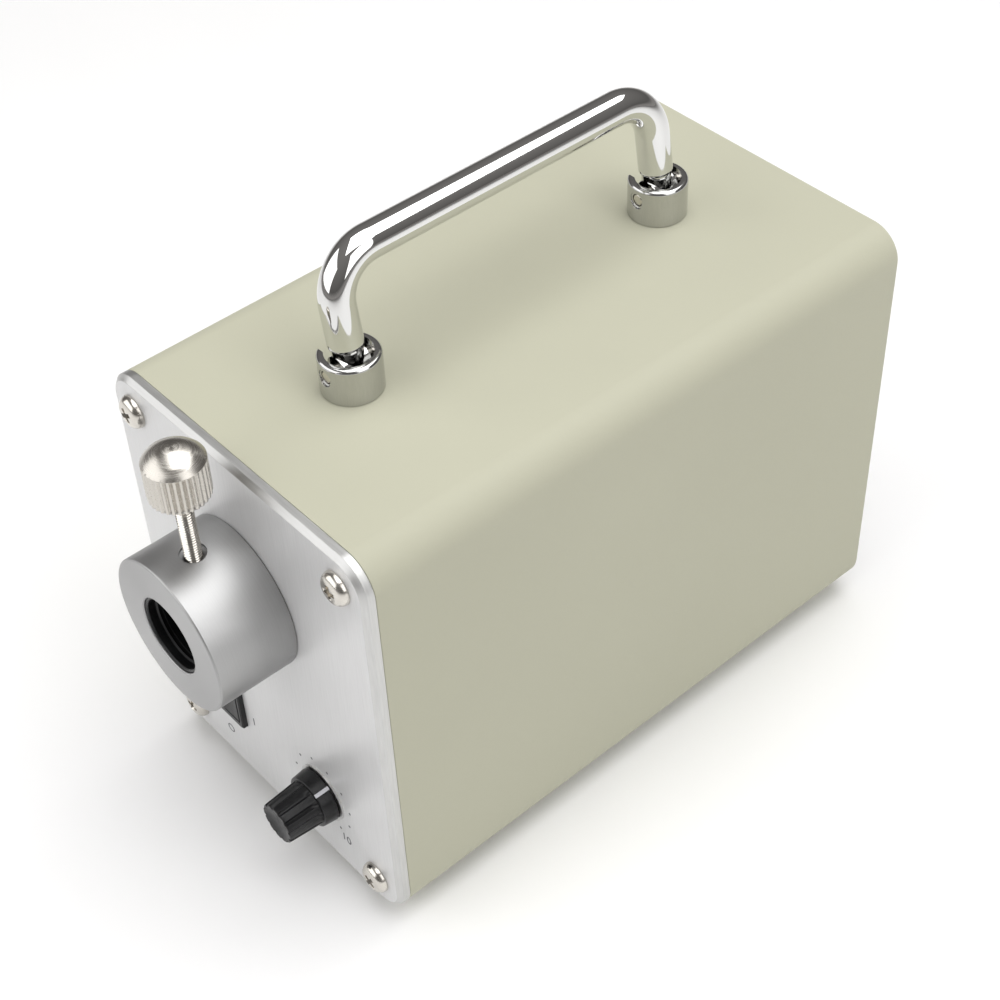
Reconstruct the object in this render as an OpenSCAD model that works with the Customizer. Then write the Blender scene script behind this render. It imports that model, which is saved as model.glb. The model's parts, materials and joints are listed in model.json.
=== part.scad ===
// Fiber optic illuminator: a bench light source in a rounded sleeve, with a carry handle.
// +Z is up and -Y is the front. The origin is on the bench, under the middle of the object.
// Most modules draw in the case frame, where y is 0 at the sleeve's front edge and z is 0 at
// the case bottom, and seated() moves them onto the feet.

/* [Case] */
// Width of the case
case_w = 88; // [84:1:130]
// Height of the case without its feet
case_h = 114; // [112:1:170]
// Length of the case between the two panels
sleeve_l = 152; // [148:1:240]
// Thickness of the sleeve's sheet
wall = 2; // [1.5:0.1:3]
// Radius of the sleeve's long edges
corner_r = 8; // [6:0.5:11]
// Thickness of the front panel
front_panel_t = 3; // [2.5:0.1:4]
// Thickness of the rear panel
rear_panel_t = 2; // [1.5:0.1:3]
// Width of the front panel's bevelled edge
panel_bevel = 1.2; // [0.4:0.1:1.8]
// Distance of the panel screws from the case edges
screw_inset = 8.3; // [7.5:0.1:10]
// Diameter of the rubber feet
foot_d = 12; // [10:0.5:16]
// Height of the rubber feet
foot_h = 4; // [3.5:0.5:8]

/* [Handle] */
// Diameter of the handle rod
rod_d = 8; // [6:0.5:9]
// Distance between the two legs
handle_span = 90; // [70:1:100]
// Distance of the first leg from the sleeve's front edge
handle_front = 31; // [20:1:40]
// Distance from the pins to the middle of the grip
handle_reach = 24.5; // [22:0.5:30]
// Radius of the rod's bends, on its centre line
handle_bend_r = 10.3; // [9:0.1:12]
// Lean of the handle at rest, from upright
handle_lean = 9; // [2:1:40]
// Diameter of the collars
collar_d = 14; // [13:0.5:18]
// Height of the collars
collar_h = 9.5; // [9:0.1:12]
// Height of the pins over the case top
handle_pin_z = 6; // [5.8:0.1:8]
// Diameter of the pins
handle_pin_d = 3; // [2:0.1:3.4]

/* [Light port] */
// Sideways place of the port, the thumb screw and the handle
port_x = -1.5; // [-6:0.5:6]
// Height of the port over the case bottom
port_z = 76.1; // [66:0.1:84]
// Diameter of the barrel
port_d = 37.5; // [31:0.5:42]
// Length of the barrel in front of the panel
port_l = 20; // [16:0.5:30]
// Bore that takes the end fitting of the light guide
guide_bore_d = 16; // [10:0.1:16.8]
// Diameter of the barrel's mouth and of the liner
mouth_d = 18.6; // [18:0.1:24]
// Depth of the liner behind the barrel's rim
liner_depth = 0.5; // [0.2:0.1:3]
// Diameter of the spigot that passes through the panel
spigot_d = 26; // [24:0.5:30]

/* [Thumb screw] */
// Diameter of the fluted head
thumb_head_d = 13.5; // [10:0.5:18]
// Height of the fluted part of the head
thumb_head_h = 9.5; // [7:0.5:12]
// Height of the head's domed top
thumb_dome_h = 3.5; // [1:0.5:5]
// Space between the barrel and the head at rest
thumb_lift = 16.8; // [16.5:0.1:22]
// Distance of the screw from the panel face
thumb_out = 10.4; // [8:0.1:14]
// Diameter of the screw's shank
thumb_shank_d = 4; // [3:0.5:4.5]

/* [Dial] */
// Sideways place of the dial
dial_x = 17.6; // [17:0.1:24]
// Height of the dial
dial_z = 22.6; // [20:0.1:30]
// Diameter of the knob's skirt at its back
skirt_d = 14; // [13.8:0.1:20]
// Diameter of the knob's skirt at its front
skirt_front_d = 13.2; // [13:0.1:13.8]
// Diameter of the knob's ribbed body at its root
knob_root_d = 11.6; // [11.2:0.1:12.6]
// Diameter of the knob's outer end
knob_end_d = 10.4; // [9:0.1:11]
// Reach of the knob from the panel face
knob_reach = 13.4; // [13:0.1:20]
// Number of ribs on the knob
knob_ribs = 12; // [8:1:20]
// Turn of the pointer at rest, clockwise from the top
pointer_turn = 33; // [-148:1:148]

/* [Switch] */
// Sideways place of the rocker switch
switch_x = -19.7; // [-24:0.1:-19.5]
// Height of the rocker switch
switch_z = 26; // [24:0.1:34]
// Width of the switch's bezel
bezel_w = 14; // [13:0.1:15]
// Height of the switch's bezel
bezel_h = 15; // [14:0.1:18]
// Travel of the rocker, from side to side
rock_angle = 20; // [12:1:22]

/* [Fan and inlet] */
// Width of the fan
fan_size = 60; // [50:1:60]
// Depth of the fan
fan_t = 15; // [12:1:20]
// Distance between the fan's screws
fan_screw_span = 50; // [42:1:50]
// Height of the mains inlet's centre
inlet_z = 22; // [22:0.5:26]

/* [Hidden] */

// Overrun of cuts, and the clearances that every fit takes
cut = 1;
seat_gap = 0.2;
run_gap = 0.05;
lay_gap = 0.1;
sheet_t = 1.5;

// Roundness of full circles, small circles and flats of a nut
$fn = 96;
small_fn = 40;
hex_fn = 6;

// Screw sizes: shank radius, head radius and head height of each screw used
m4_r = 2;
m4_head_r = 4;
m4_head_h = 2.4;
m3_r = 1.5;
m3_head_r = 2.75;
m3_head_h = 2;
m2_r = 1;
m2_head_r = 1.9;
m2_head_h = 1.3;
recess_length_share = 1.1;
recess_width_share = 0.26;
recess_depth_share = 0.6;
head_round_share = 0.8;

// Corner blocks of the sleeve, which take the panel screws
block_r = 4.2;
block_l = 12;
panel_screw_l = 13.2;
block_bore_l = 11.6;
front_y = -front_panel_t;
rear_y = sleeve_l + rear_panel_t;

// Feet and their screws
foot_x = 26;
foot_front = 22;
foot_back = 20;
foot_taper = 1;
foot_web_t = 1.5;
foot_recess_r = 3.6;
foot_screw_l = 6.6;

// Chassis tray and the air slots through the tray and the sleeve floor
tray_w = 60;
tray_front = 14;
tray_back = 14;
tray_lip_h = 8;
tray_top = wall + sheet_t;
slot_w = 3;
slot_l = 34;
slot_pitch = 7;
slot_count = 6;
slot_front = 62;

// Handle: neck in the collar, collar walls and the screw through the case top
rod_r = rod_d / 2;
neck_r = 3.5;
neck_l = 4.8;
collar_r = collar_d / 2;
cup_r = 5.4;
cup_floor = 2.2;
cup_slot_w = rod_d + 2 * seat_gap;
cup_slot_floor = handle_pin_z - rod_r - seat_gap;
collar_round = 0.9;
pin_hole_r = handle_pin_d / 2;
pin_sink_r = 2;
pin_sink_h = 0.5;
handle_screw_l = 9;
washer_t = 0.8;
washer_r = 4.5;
nut_h = 3.2;
nut_r = 4;
leg_y = [handle_front, handle_front + handle_span];

// Light port: liner, stop, lens pocket and nut
port_r = port_d / 2;
port_chamfer = 0.8;
liner_r = mouth_d / 2;
guide_r = guide_bore_d / 2;
liner_mouth_r = 8.6;
liner_mouth_l = 2.5;
stop_y = -1;
stop_r = 6.5;
spigot_l = 9;
lens_r = 8;
lens_seat_y = 3;
lens_edge_t = 2;
lens_dome_r = 6.5;
lens_dome_h = 2.2;
ring_in_r = 6.8;
ring_t = 1.2;
ring_slot_w = 1.6;
lock_nut_r = 17;
lock_nut_t = 4;
lock_slot_w = 4;
lock_slot_depth = 1.6;
lock_slots = 6;

// Thumb screw: flutes, shank and the hole in the barrel
thumb_flutes = 32;
thumb_flute_r = 0.45;
thumb_tip_gap = 0.5;
thumb_grip_l = 6;
thumb_sink_r = 3;
thumb_sink_h = 1;
thumb_edge = 0.6;
thumb_y = front_y - thumb_out;
thumb_low = port_z + port_r + thumb_lift;
thumb_tip = port_z + guide_r + thumb_tip_gap;

// Light engine behind the port
web_y = 16;
web_t = 2;
web_w = 59;
web_low = 46;
web_top = 104;
leg_w = 17;
bracket_foot_l = 20;
bracket_screw_front = 24;
bracket_screw_pitch = 7;
bracket_screw_y = [bracket_screw_front, bracket_screw_front + bracket_screw_pitch];
window_r = 12;
sink_w = 50;
sink_base_t = 5;
fin_l = 30;
fin_t = 1.6;
fin_count = 9;
sink_screw_span = 40;
sink_screw_l = 5.6;
led_board_r = 10;
led_board_t = 1.6;
led_base_w = 7;
led_base_t = 1;
led_dome_r = 2.9;
led_screw_x = 7.6;
led_screw_l = 4.6;
sink_y = web_y + web_t;
led_front_y = sink_y - led_board_t;

// Rocker switch
bezel_t = 1.4;
bezel_rim = 1.2;
switch_body_w = 12;
switch_body_h = 13;
switch_body_l = 15;
rocker_well = 6;
pivot_depth = 1.6;
pivot_r = 0.8;
pivot_reach = 0.9;
rocker_gap = 0.25;
rocker_half = (bezel_w / 2 - bezel_rim - rocker_gap - pivot_depth * sin(rock_angle / 2))
    * cos(rock_angle / 2);
rocker_root_share = 0.86;
rocker_root_depth = 3;
blade_w = 4.8;
blade_t = 0.8;
blade_l = 7;
terminal_pitch = 4;
blade_x = [-terminal_pitch, 0, terminal_pitch];
bezel_y = front_y - bezel_t;
pivot_y = bezel_y + pivot_depth;

// Dial: potentiometer and knob
pot_r = 8.25;
pot_l = 8.5;
bush_r = 3.5;
bush_l = 3;
shaft_r = 3;
shaft_reach = 10.5;
shaft_tail = 6;
pot_washer_t = 0.5;
pot_washer_r = 7.6;
pot_nut_h = 2;
pot_nut_r = 5.7;
lug_w = 1.6;
lug_t = 0.6;
lug_l = 6;
lug_pitch = 5;
skirt_back = 0.8;
skirt_t = 3.7;
knob_recess_r = 6;
knob_recess_reach = 3.4;
knob_edge = 0.6;
knob_dish_r = 12;
knob_dish_h = 0.9;
rib_groove_share = 0.11;
pointer_w = 0.9;
pointer_rise = 0.15;

// Driver board and what stands on it
board_front = 42;
board_w = 56;
board_l = 80;
board_t = 1.6;
standoff_h = 6;
standoff_r = 2.5;
standoff_x = 24;
standoff_inset = 4;
board_screw_l = 5;
board_z = tray_top + standoff_h + board_t;
core_w = 30;
core_d = 25;
core_h = 22;
core_x = -8;
core_y = 64;
core_leg = 5;
winding_gap = 1;
cap_shares = [[-0.07, 0.6], [0.18, 0.65], [0.375, 0.775]];
cap_r = 6.2;
cap_h = 20;
cap_top_round = 0.8;
transistor_x = 17;
transistor_y = 74;
transistor_w = 10;
transistor_h = 15;
transistor_t = 4.4;
pin_w = 0.8;
pin_h = 3;
rad_w = 22;
rad_h = 25;
rad_t = 2;
rad_fin_l = 8;
rad_fins = 4;
block_ways = 6;
way_pitch = 6;
way_depth = 8;
way_h = 10;
way_screw_r = 1.6;
way_mouth_r = 1.3;
way_sink = 2;
fuse_x = -20;
fuse_y = 88;
fuse_r = 2.6;
fuse_l = 20;
fuse_cap_l = 5;
fuse_rise = 5;
clip_t = 0.6;
clip_w = 4;

// Fan, its guard and its screws
fan_gap = 0.6;
fan_z = case_h - screw_inset - block_r - fan_gap - fan_size / 2;
fan_front = sleeve_l - fan_t;
duct_wall = 1.5;
duct_r = fan_size / 2 - duct_wall;
fan_web_t = 2;
hub_plate_r = 13;
fan_hub_r = 12.4;
fan_hub_wall = 1.2;
fan_strut_w = 3;
fan_struts = 3;
fan_shaft_r = 1.5;
bearing_r = 3;
fan_blades = 7;
blade_thick = 1.2;
blade_pitch = 42;
blade_gap = 0.9;
rotor_gap = 1;
rotor_set = 2.6;
guard_wire = 1.5;
guard_rise = 3;
guard_ring_r = 9;
guard_ring_pitch = 6;
guard_ring_count = 4;
guard_rings = [for (i = [0:guard_ring_count - 1]) guard_ring_r + i * guard_ring_pitch];
guard_ear_r = 4.5;
fan_screw_l = 13;
fan_hole_r = 2.15;

// Mains inlet
inlet_body_w = 28;
inlet_body_h = 20;
inlet_depth = 18;
flange_w = 50;
flange_h = 23;
flange_t = 3;
flange_corner = 3;
socket_w = 24.5;
socket_h = 16.5;
socket_clip = 4;
socket_depth = 16;
inlet_pin_w = 2;
inlet_pin_h = 4;
inlet_pin_l = 14;
inlet_tab_l = 7;
inlet_pin_pitch = 7;
inlet_pin_drop = 2;
inlet_pin_x = [-inlet_pin_pitch, 0, inlet_pin_pitch];
inlet_pin_z = [-inlet_pin_drop, inlet_pin_drop, -inlet_pin_drop];
inlet_screw_x = 20;
inlet_screw_l = 9;
inlet_sink_h = 1.5;

// Leads: radius, end gap, sides, the way that the first ring faces, and where bends are cut
lead_r = 0.8;
lead_end = 0.2;
lead_sides = 8;
lead_side = [0.3, 0.2, 1];
bend_shares = [0.25, 0.75];

// Overall length, which centres the object on the origin
guard_out = guard_rise + guard_wire;
front_out = front_panel_t + port_l;
back_out = rear_panel_t + guard_out;
sleeve_y = front_out - (front_out + sleeve_l + back_out) / 2;

// Points along an arc, for profiles
function arc(centre, r, from, to, steps) =
    [for (i = [0:steps]) let (turn = from + (to - from) * i / steps) centre + r * [cos(turn), sin(turn)]];

module seated() {
    translate([0, sleeve_y, foot_h]) children();
}

// Box from one corner to the opposite one
module block(low, high) {
    translate(low) cube(high - low);
}

// Straight rods along each axis, from one coordinate to another
module rod_y(r, from, to, r_end = 0) {
    translate([0, from, 0])
        rotate([-90, 0, 0])
        cylinder(h = to - from, r1 = r, r2 = r_end > 0 ? r_end : r);
}

module rod_z(r, from, to, r_end = 0) {
    translate([0, 0, from]) cylinder(h = to - from, r1 = r, r2 = r_end > 0 ? r_end : r);
}

// Flat outline, drawn as x and z, given thickness along y
module plate_y(from, to) {
    translate([0, to, 0]) rotate([90, 0, 0]) linear_extrude(to - from) children();
}

module rounded_rect(w, h, r) {
    square([w - 2 * r, h], center = true);
    square([w, h - 2 * r], center = true);
    for (x = [-1, 1], z = [-1, 1])
        translate([x * (w / 2 - r), z * (h / 2 - r)]) circle(r);
}

// The case outline, drawn in by an inset
module case_outline(inset = 0) {
    translate([0, case_h / 2])
        rounded_rect(case_w - 2 * inset, case_h - 2 * inset, corner_r - inset);
}

// Screw with its head on top of z = 0 and its shank below
module pan_screw(r, head_r, head_h, length) {
    round_r = head_h * head_round_share;
    difference() {
        union() {
            rod_z(r, -length, 0, 0);
            rotate_extrude()
                polygon(concat([[0, 0], [head_r, 0], [head_r, head_h - round_r]],
                    arc([head_r - round_r, head_h - round_r], round_r, 15, 90, 5), [[0, head_h]]));
        }
        cross_recess(head_r, head_h, head_h);
    }
}

module cross_recess(head_r, head_h, top) {
    half_l = head_r * recess_length_share / 2;
    half_w = head_r * recess_width_share / 2;
    depth = head_h * recess_depth_share;
    for (turn = [0, 90])
        rotate(turn) block([-half_l, -half_w, top - depth], [half_l, half_w, top + cut]);
}

module countersunk_screw(r, head_r, head_h, length) {
    difference() {
        union() {
            rod_z(r, -length, -head_h);
            rod_z(r, -head_h, 0, head_r);
        }
        cross_recess(head_r, head_h, 0);
    }
}

module hex_nut(r, bore_r, h) {
    difference() {
        cylinder(h = h, r = r, $fn = hex_fn);
        rod_z(bore_r, -cut, h + cut);
    }
}

// Round lead: its corners are cut into bends, and rings of points are joined along the route
function unit(v) = v / norm(v);

function bends(points, rounds) =
    rounds == 0 ? points : bends(concat([points[0]],
        [for (i = [0:len(points) - 2]) for (share = bend_shares)
            points[i] + (points[i + 1] - points[i]) * share],
        [points[len(points) - 1]]), rounds - 1);

function heading(points, i) = unit(
    (i < len(points) - 1 ? unit(points[i + 1] - points[i]) : [0, 0, 0])
    + (i > 0 ? unit(points[i] - points[i - 1]) : [0, 0, 0]));

function square_to(v, along) = unit(v - (v * along) * along);

function side_ways(points, i) =
    i == 0 ? [square_to(lead_side, heading(points, 0))]
        : let (before = side_ways(points, i - 1))
            concat(before, [square_to(before[i - 1], heading(points, i))]);

module lead(route, r = lead_r) {
    points = bends(route, 2);
    sides = side_ways(points, len(points) - 1);
    rings = [for (i = [0:len(points) - 1]) for (k = [0:lead_sides - 1])
        let (turn = k * 360 / lead_sides, across = cross(heading(points, i), sides[i]))
            points[i] + r * (cos(turn) * sides[i] + sin(turn) * across)];
    last = (len(points) - 1) * lead_sides;
    polyhedron(rings, concat(
        [[for (k = [0:lead_sides - 1]) k]],
        [[for (k = [lead_sides - 1:-1:0]) last + k]],
        [for (i = [0:len(points) - 2]) for (k = [0:lead_sides - 1])
            let (a = i * lead_sides + k, b = i * lead_sides + (k + 1) % lead_sides)
                [b, a, a + lead_sides]],
        [for (i = [0:len(points) - 2]) for (k = [0:lead_sides - 1])
            let (a = i * lead_sides + k, b = i * lead_sides + (k + 1) % lead_sides)
                [b, a + lead_sides, b + lead_sides]]));
}

module at_panel_screws() {
    for (x = [-1, 1], z = [screw_inset, case_h - screw_inset])
        translate([x * (case_w / 2 - screw_inset), 0, z]) children();
}

module at_feet() {
    for (x = [-foot_x, foot_x], y = [foot_front, sleeve_l - foot_back])
        translate([x, y, 0]) children();
}

module at_legs() {
    for (y = leg_y) translate([port_x, y, case_h]) children();
}

module at_port() {
    translate([port_x, 0, port_z]) children();
}

module at_dial() {
    translate([dial_x, 0, dial_z]) children();
}

module at_switch() {
    translate([switch_x, 0, switch_z]) children();
}

module at_standoffs() {
    for (x = [-standoff_x, standoff_x],
        y = [board_front + standoff_inset, board_front + board_l - standoff_inset])
        translate([x, y, 0]) children();
}

module at_fan() {
    translate([0, 0, fan_z]) children();
}

module at_fan_screws() {
    for (x = [-1, 1], z = [-1, 1])
        translate([x * fan_screw_span / 2, 0, z * fan_screw_span / 2]) children();
}

module at_inlet() {
    translate([0, 0, inlet_z]) children();
}

module facing_front() {
    rotate([90, 0, 0]) children();
}

module facing_back() {
    rotate([-90, 0, 0]) children();
}

module air_slots(from, to) {
    for (i = [0:slot_count - 1])
        block([(i - (slot_count - 1) / 2) * slot_pitch - slot_w / 2, slot_front, from],
            [(i - (slot_count - 1) / 2) * slot_pitch + slot_w / 2, slot_front + slot_l, to]);
}

// Corner block outline: the screw's boss, joined to the two walls of its corner
module block_outline() {
    intersection() {
        case_outline(wall / 2);
        for (x = [-1, 1], z = [-1, 1])
            translate([x * (case_w / 2 - screw_inset), case_h / 2 + z * (case_h / 2 - screw_inset)]) {
                circle(block_r);
                translate([x * screw_inset / 2, z * (screw_inset - block_r) / 2])
                    square([screw_inset, screw_inset + block_r], center = true);
                translate([x * (screw_inset - block_r) / 2, z * screw_inset / 2])
                    square([screw_inset + block_r, screw_inset], center = true);
            }
    }
}

module case_sleeve() {
    color([0.80, 0.79, 0.71]) seated()
        difference() {
            union() {
                difference() {
                    plate_y(0, rear_y) case_outline();
                    plate_y(-cut, rear_y + cut) case_outline(wall);
                }
                for (y = [0, sleeve_l - block_l]) plate_y(y, y + block_l) block_outline();
            }
            at_panel_screws() rod_y(m4_r + run_gap, -cut, block_bore_l);
            at_panel_screws() rod_y(m4_r + run_gap, sleeve_l - block_bore_l, sleeve_l + cut);
            at_legs() rod_z(m4_r + seat_gap, -wall - cut, cut);
            at_feet() rod_z(m3_r + seat_gap, -cut, wall + cut);
            air_slots(-cut, wall + cut);
        }
}

// Slab with round corners and a bevel around its front face, which points to -Y
module bevelled_panel(w, h, r, t, bevel) {
    for (side = [[w - 2 * r, h, 0], [h - 2 * r, w, 90]])
        rotate([0, side[2], 0])
            translate([-side[0] / 2, 0, 0])
            rotate([90, 0, 90])
            linear_extrude(side[0])
            polygon([[0, -side[1] / 2], [0, side[1] / 2], [bevel - t, side[1] / 2],
                [-t, side[1] / 2 - bevel], [-t, bevel - side[1] / 2], [bevel - t, -side[1] / 2]]);
    for (x = [-1, 1], z = [-1, 1])
        translate([x * (w / 2 - r), 0, z * (h / 2 - r)]) {
            rod_y(r, bevel - t, 0);
            rod_y(r - bevel, -t, bevel - t, r);
        }
}

module front_panel() {
    color([0.72, 0.73, 0.74]) seated()
        difference() {
            translate([0, 0, case_h / 2])
                bevelled_panel(case_w, case_h, corner_r, front_panel_t, panel_bevel);
            at_panel_screws() rod_y(m4_r + seat_gap, front_y - cut, cut);
            at_port() rod_y(spigot_d / 2 + seat_gap, front_y - cut, cut);
            at_dial() rod_y(bush_r + seat_gap, front_y - cut, cut);
            at_switch()
                block([-switch_body_w / 2 - seat_gap, front_y - cut, -switch_body_h / 2 - seat_gap],
                    [switch_body_w / 2 + seat_gap, cut, switch_body_h / 2 + seat_gap]);
        }
}

module rear_panel() {
    color([0.62, 0.63, 0.64]) seated()
        difference() {
            plate_y(sleeve_l, rear_y) case_outline(wall + seat_gap);
            at_panel_screws() rod_y(m4_r + seat_gap, sleeve_l - cut, rear_y + cut);
            at_fan() rod_y(duct_r, sleeve_l - cut, rear_y + cut);
            at_fan() at_fan_screws() rod_y(fan_hole_r, sleeve_l - cut, rear_y + cut);
            at_inlet() {
                block([-inlet_body_w / 2 - seat_gap, sleeve_l - cut, -inlet_body_h / 2 - seat_gap],
                    [inlet_body_w / 2 + seat_gap, rear_y + cut, inlet_body_h / 2 + seat_gap]);
                for (x = [-inlet_screw_x, inlet_screw_x])
                    translate([x, 0, 0]) rod_y(m3_r + run_gap, sleeve_l - cut, rear_y + cut);
            }
        }
}

module front_panel_screws() {
    color([0.80, 0.80, 0.78]) seated() at_panel_screws()
        translate([0, front_y, 0]) facing_front()
        pan_screw(m4_r, m4_head_r, m4_head_h, panel_screw_l);
}

module rear_panel_screws() {
    color([0.80, 0.80, 0.78]) seated() at_panel_screws()
        translate([0, rear_y, 0]) facing_back()
        pan_screw(m4_r, m4_head_r, m4_head_h, panel_screw_l);
}

module rubber_feet() {
    color([0.10, 0.10, 0.10]) seated() at_feet()
        difference() {
            rod_z(foot_d / 2 - foot_taper, -foot_h, 0, foot_d / 2);
            rod_z(foot_recess_r, -foot_h - cut, -foot_web_t);
            rod_z(m3_r + seat_gap, -foot_h, cut);
        }
}

module foot_screws() {
    color([0.70, 0.70, 0.68]) seated() at_feet()
        translate([0, 0, -foot_web_t]) mirror([0, 0, 1])
        pan_screw(m3_r, m3_head_r, m3_head_h, foot_screw_l);
}

module chassis_tray() {
    color([0.66, 0.67, 0.68]) seated()
        difference() {
            union() {
                block([-tray_w / 2, tray_front, wall], [tray_w / 2, sleeve_l - tray_back, tray_top]);
                for (x = [-tray_w / 2, tray_w / 2 - sheet_t])
                    block([x, tray_front, wall], [x + sheet_t, sleeve_l - tray_back, tray_top + tray_lip_h]);
            }
            at_feet() rod_z(m3_r + run_gap, 0, tray_top + cut);
            at_standoffs() rod_z(m3_r + run_gap, 0, tray_top + cut);
            for (y = bracket_screw_y)
                translate([port_x, y, 0]) rod_z(m3_r + run_gap, 0, tray_top + cut);
            air_slots(0, tray_top + cut);
        }
}

// Handle: drawn upright with its pin axis at the origin, then leaned about the pins
module handle_leaned() {
    translate([port_x, handle_front, case_h + handle_pin_z]) rotate([0, -handle_lean, 0]) children();
}

module carry_handle() {
    grip_low = handle_bend_r;
    grip_high = handle_span - handle_bend_r;
    bend_z = handle_reach - handle_bend_r;
    color([0.86, 0.87, 0.88]) seated() handle_leaned()
        difference() {
            union() {
                for (y = [0, handle_span]) translate([0, y, 0]) {
                    rod_z(neck_r, 0, neck_l);
                    rod_y(neck_r, -neck_r, neck_r);
                    rod_z(rod_r, neck_l, bend_z);
                }
                translate([0, 0, handle_reach]) rod_y(rod_r, grip_low, grip_high);
                translate([0, grip_low, bend_z]) rotate([0, -90, 0]) rotate([0, 0, -90])
                    rotate_extrude(angle = 90) translate([handle_bend_r, 0]) circle(rod_r);
                translate([0, grip_high, bend_z]) rotate([0, -90, 0])
                    rotate_extrude(angle = 90) translate([handle_bend_r, 0]) circle(rod_r);
            }
            for (y = [0, handle_span])
                translate([0, y, 0]) rod_y(pin_hole_r + run_gap, -neck_r - cut, neck_r + cut);
        }
}

module handle_collars() {
    color([0.75, 0.76, 0.77]) seated() at_legs()
        difference() {
            rotate_extrude()
                polygon(concat([[0, 0], [collar_r, 0]],
                    arc([collar_r - collar_round, collar_h - collar_round], collar_round, 0, 90, 6),
                    [[0, collar_h]]));
            rod_z(cup_r, cup_floor, collar_h + cut);
            rod_z(m4_r + seat_gap, -cut, cup_floor + cut);
            rod_z(m4_r, 0, cup_floor, m4_head_r);
            block([-collar_r - cut, -cup_slot_w / 2, cup_slot_floor], [0, cup_slot_w / 2, collar_h + cut]);
            translate([0, 0, handle_pin_z]) {
                rod_y(pin_hole_r + run_gap, -collar_r - cut, collar_r + cut);
                rod_y(pin_sink_r, -collar_r - cut, pin_sink_h - collar_r);
            }
        }
}

module handle_pins() {
    color([0.55, 0.56, 0.58]) seated() at_legs()
        translate([0, 0, handle_pin_z]) rod_y(pin_hole_r, pin_sink_h - collar_r, collar_r - pin_sink_h);
}

module handle_screws() {
    color([0.70, 0.70, 0.68]) seated() at_legs()
        translate([0, 0, cup_floor - seat_gap])
        countersunk_screw(m4_r, m4_head_r - 2 * seat_gap, cup_floor - seat_gap, handle_screw_l);
}

module handle_washers() {
    color([0.78, 0.78, 0.78]) seated() at_legs()
        difference() {
            rod_z(washer_r, -wall - washer_t, -wall);
            rod_z(m4_r + seat_gap, -wall - washer_t - cut, cut);
        }
}

module handle_nuts() {
    color([0.72, 0.70, 0.62]) seated() at_legs()
        translate([0, 0, -wall - washer_t - nut_h]) hex_nut(nut_r, m4_r + run_gap, nut_h);
}

module light_port() {
    mouth_y = front_y - port_l;
    color([0.78, 0.79, 0.80]) seated() at_port()
        difference() {
            union() {
                rod_y(port_r - port_chamfer, mouth_y, mouth_y + port_chamfer, port_r);
                rod_y(port_r, mouth_y + port_chamfer, front_y);
                rod_y(spigot_d / 2, front_y, spigot_l);
            }
            rod_y(liner_r, mouth_y - cut, stop_y);
            rod_y(stop_r, stop_y - cut, spigot_l + cut);
            rod_y(lens_r + lay_gap, lens_seat_y, spigot_l + cut);
            translate([0, thumb_y, 0]) {
                rod_z(thumb_shank_d / 2 + run_gap, 0, port_r + cut);
                rod_z(thumb_sink_r, port_r - thumb_sink_h, port_r + cut);
            }
        }
}

module port_liner() {
    liner_front = front_y - port_l + liner_depth;
    color([0.09, 0.09, 0.09]) seated() at_port()
        difference() {
            rod_y(liner_r - run_gap, liner_front, stop_y);
            rod_y(guide_r, liner_front - cut, stop_y + cut);
            rod_y(liner_mouth_r, liner_front - cut, liner_front + liner_mouth_l);
            translate([0, thumb_y, 0]) rod_z(thumb_shank_d / 2 + seat_gap, 0, port_r);
        }
}

module port_lock_nut() {
    color([0.70, 0.71, 0.72]) seated() at_port()
        difference() {
            rod_y(lock_nut_r, 0, lock_nut_t);
            rod_y(spigot_d / 2 + run_gap, -cut, lock_nut_t + cut);
            for (i = [0:lock_slots - 1]) rotate([0, i * 360 / lock_slots, 0])
                block([lock_nut_r - lock_slot_depth, -cut, -lock_slot_w / 2],
                    [lock_nut_r + cut, lock_nut_t + cut, lock_slot_w / 2]);
        }
}

module condenser_lens() {
    dome_sphere_r = (pow(lens_dome_r, 2) + pow(lens_dome_h, 2)) / (2 * lens_dome_h);
    dome_y = lens_seat_y + lens_edge_t;
    color([0.80, 0.88, 0.92, 0.5]) seated() at_port()
        union() {
            rod_y(lens_r, lens_seat_y, dome_y);
            intersection() {
                translate([0, dome_y + lens_dome_h - dome_sphere_r, 0]) sphere(dome_sphere_r);
                rod_y(lens_dome_r, dome_y, dome_y + 2 * lens_dome_h);
            }
        }
}

module lens_retaining_ring() {
    ring_y = lens_seat_y + lens_edge_t;
    color([0.30, 0.31, 0.32]) seated() at_port()
        difference() {
            rod_y(lens_r + run_gap, ring_y, ring_y + ring_t);
            rod_y(ring_in_r, ring_y - cut, ring_y + ring_t + cut);
            block([-ring_slot_w / 2, ring_y - cut, 0],
                [ring_slot_w / 2, ring_y + ring_t + cut, lens_r + cut]);
        }
}

module at_thumb() {
    translate([port_x, thumb_y, 0]) children();
}

module thumb_screw_head() {
    r = thumb_head_d / 2;
    dome_sphere_r = (pow(r, 2) + pow(thumb_dome_h, 2)) / (2 * thumb_dome_h);
    top = thumb_low + thumb_head_h;
    color([0.80, 0.79, 0.76]) seated() at_thumb()
        difference() {
            union() {
                rod_z(r - thumb_edge, thumb_low, thumb_low + thumb_edge, r);
                rod_z(r, thumb_low + thumb_edge, top);
                intersection() {
                    translate([0, 0, top + thumb_dome_h - dome_sphere_r]) sphere(dome_sphere_r);
                    rod_z(r, top, top + 2 * thumb_dome_h);
                }
            }
            rod_z(thumb_shank_d / 2 + run_gap, thumb_low - cut, thumb_low + thumb_grip_l + run_gap);
            for (i = [0:thumb_flutes - 1]) rotate(i * 360 / thumb_flutes)
                translate([r + thumb_flute_r / 3, 0, 0])
                cylinder(h = 2 * top, r = thumb_flute_r, $fn = small_fn);
        }
}

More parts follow.
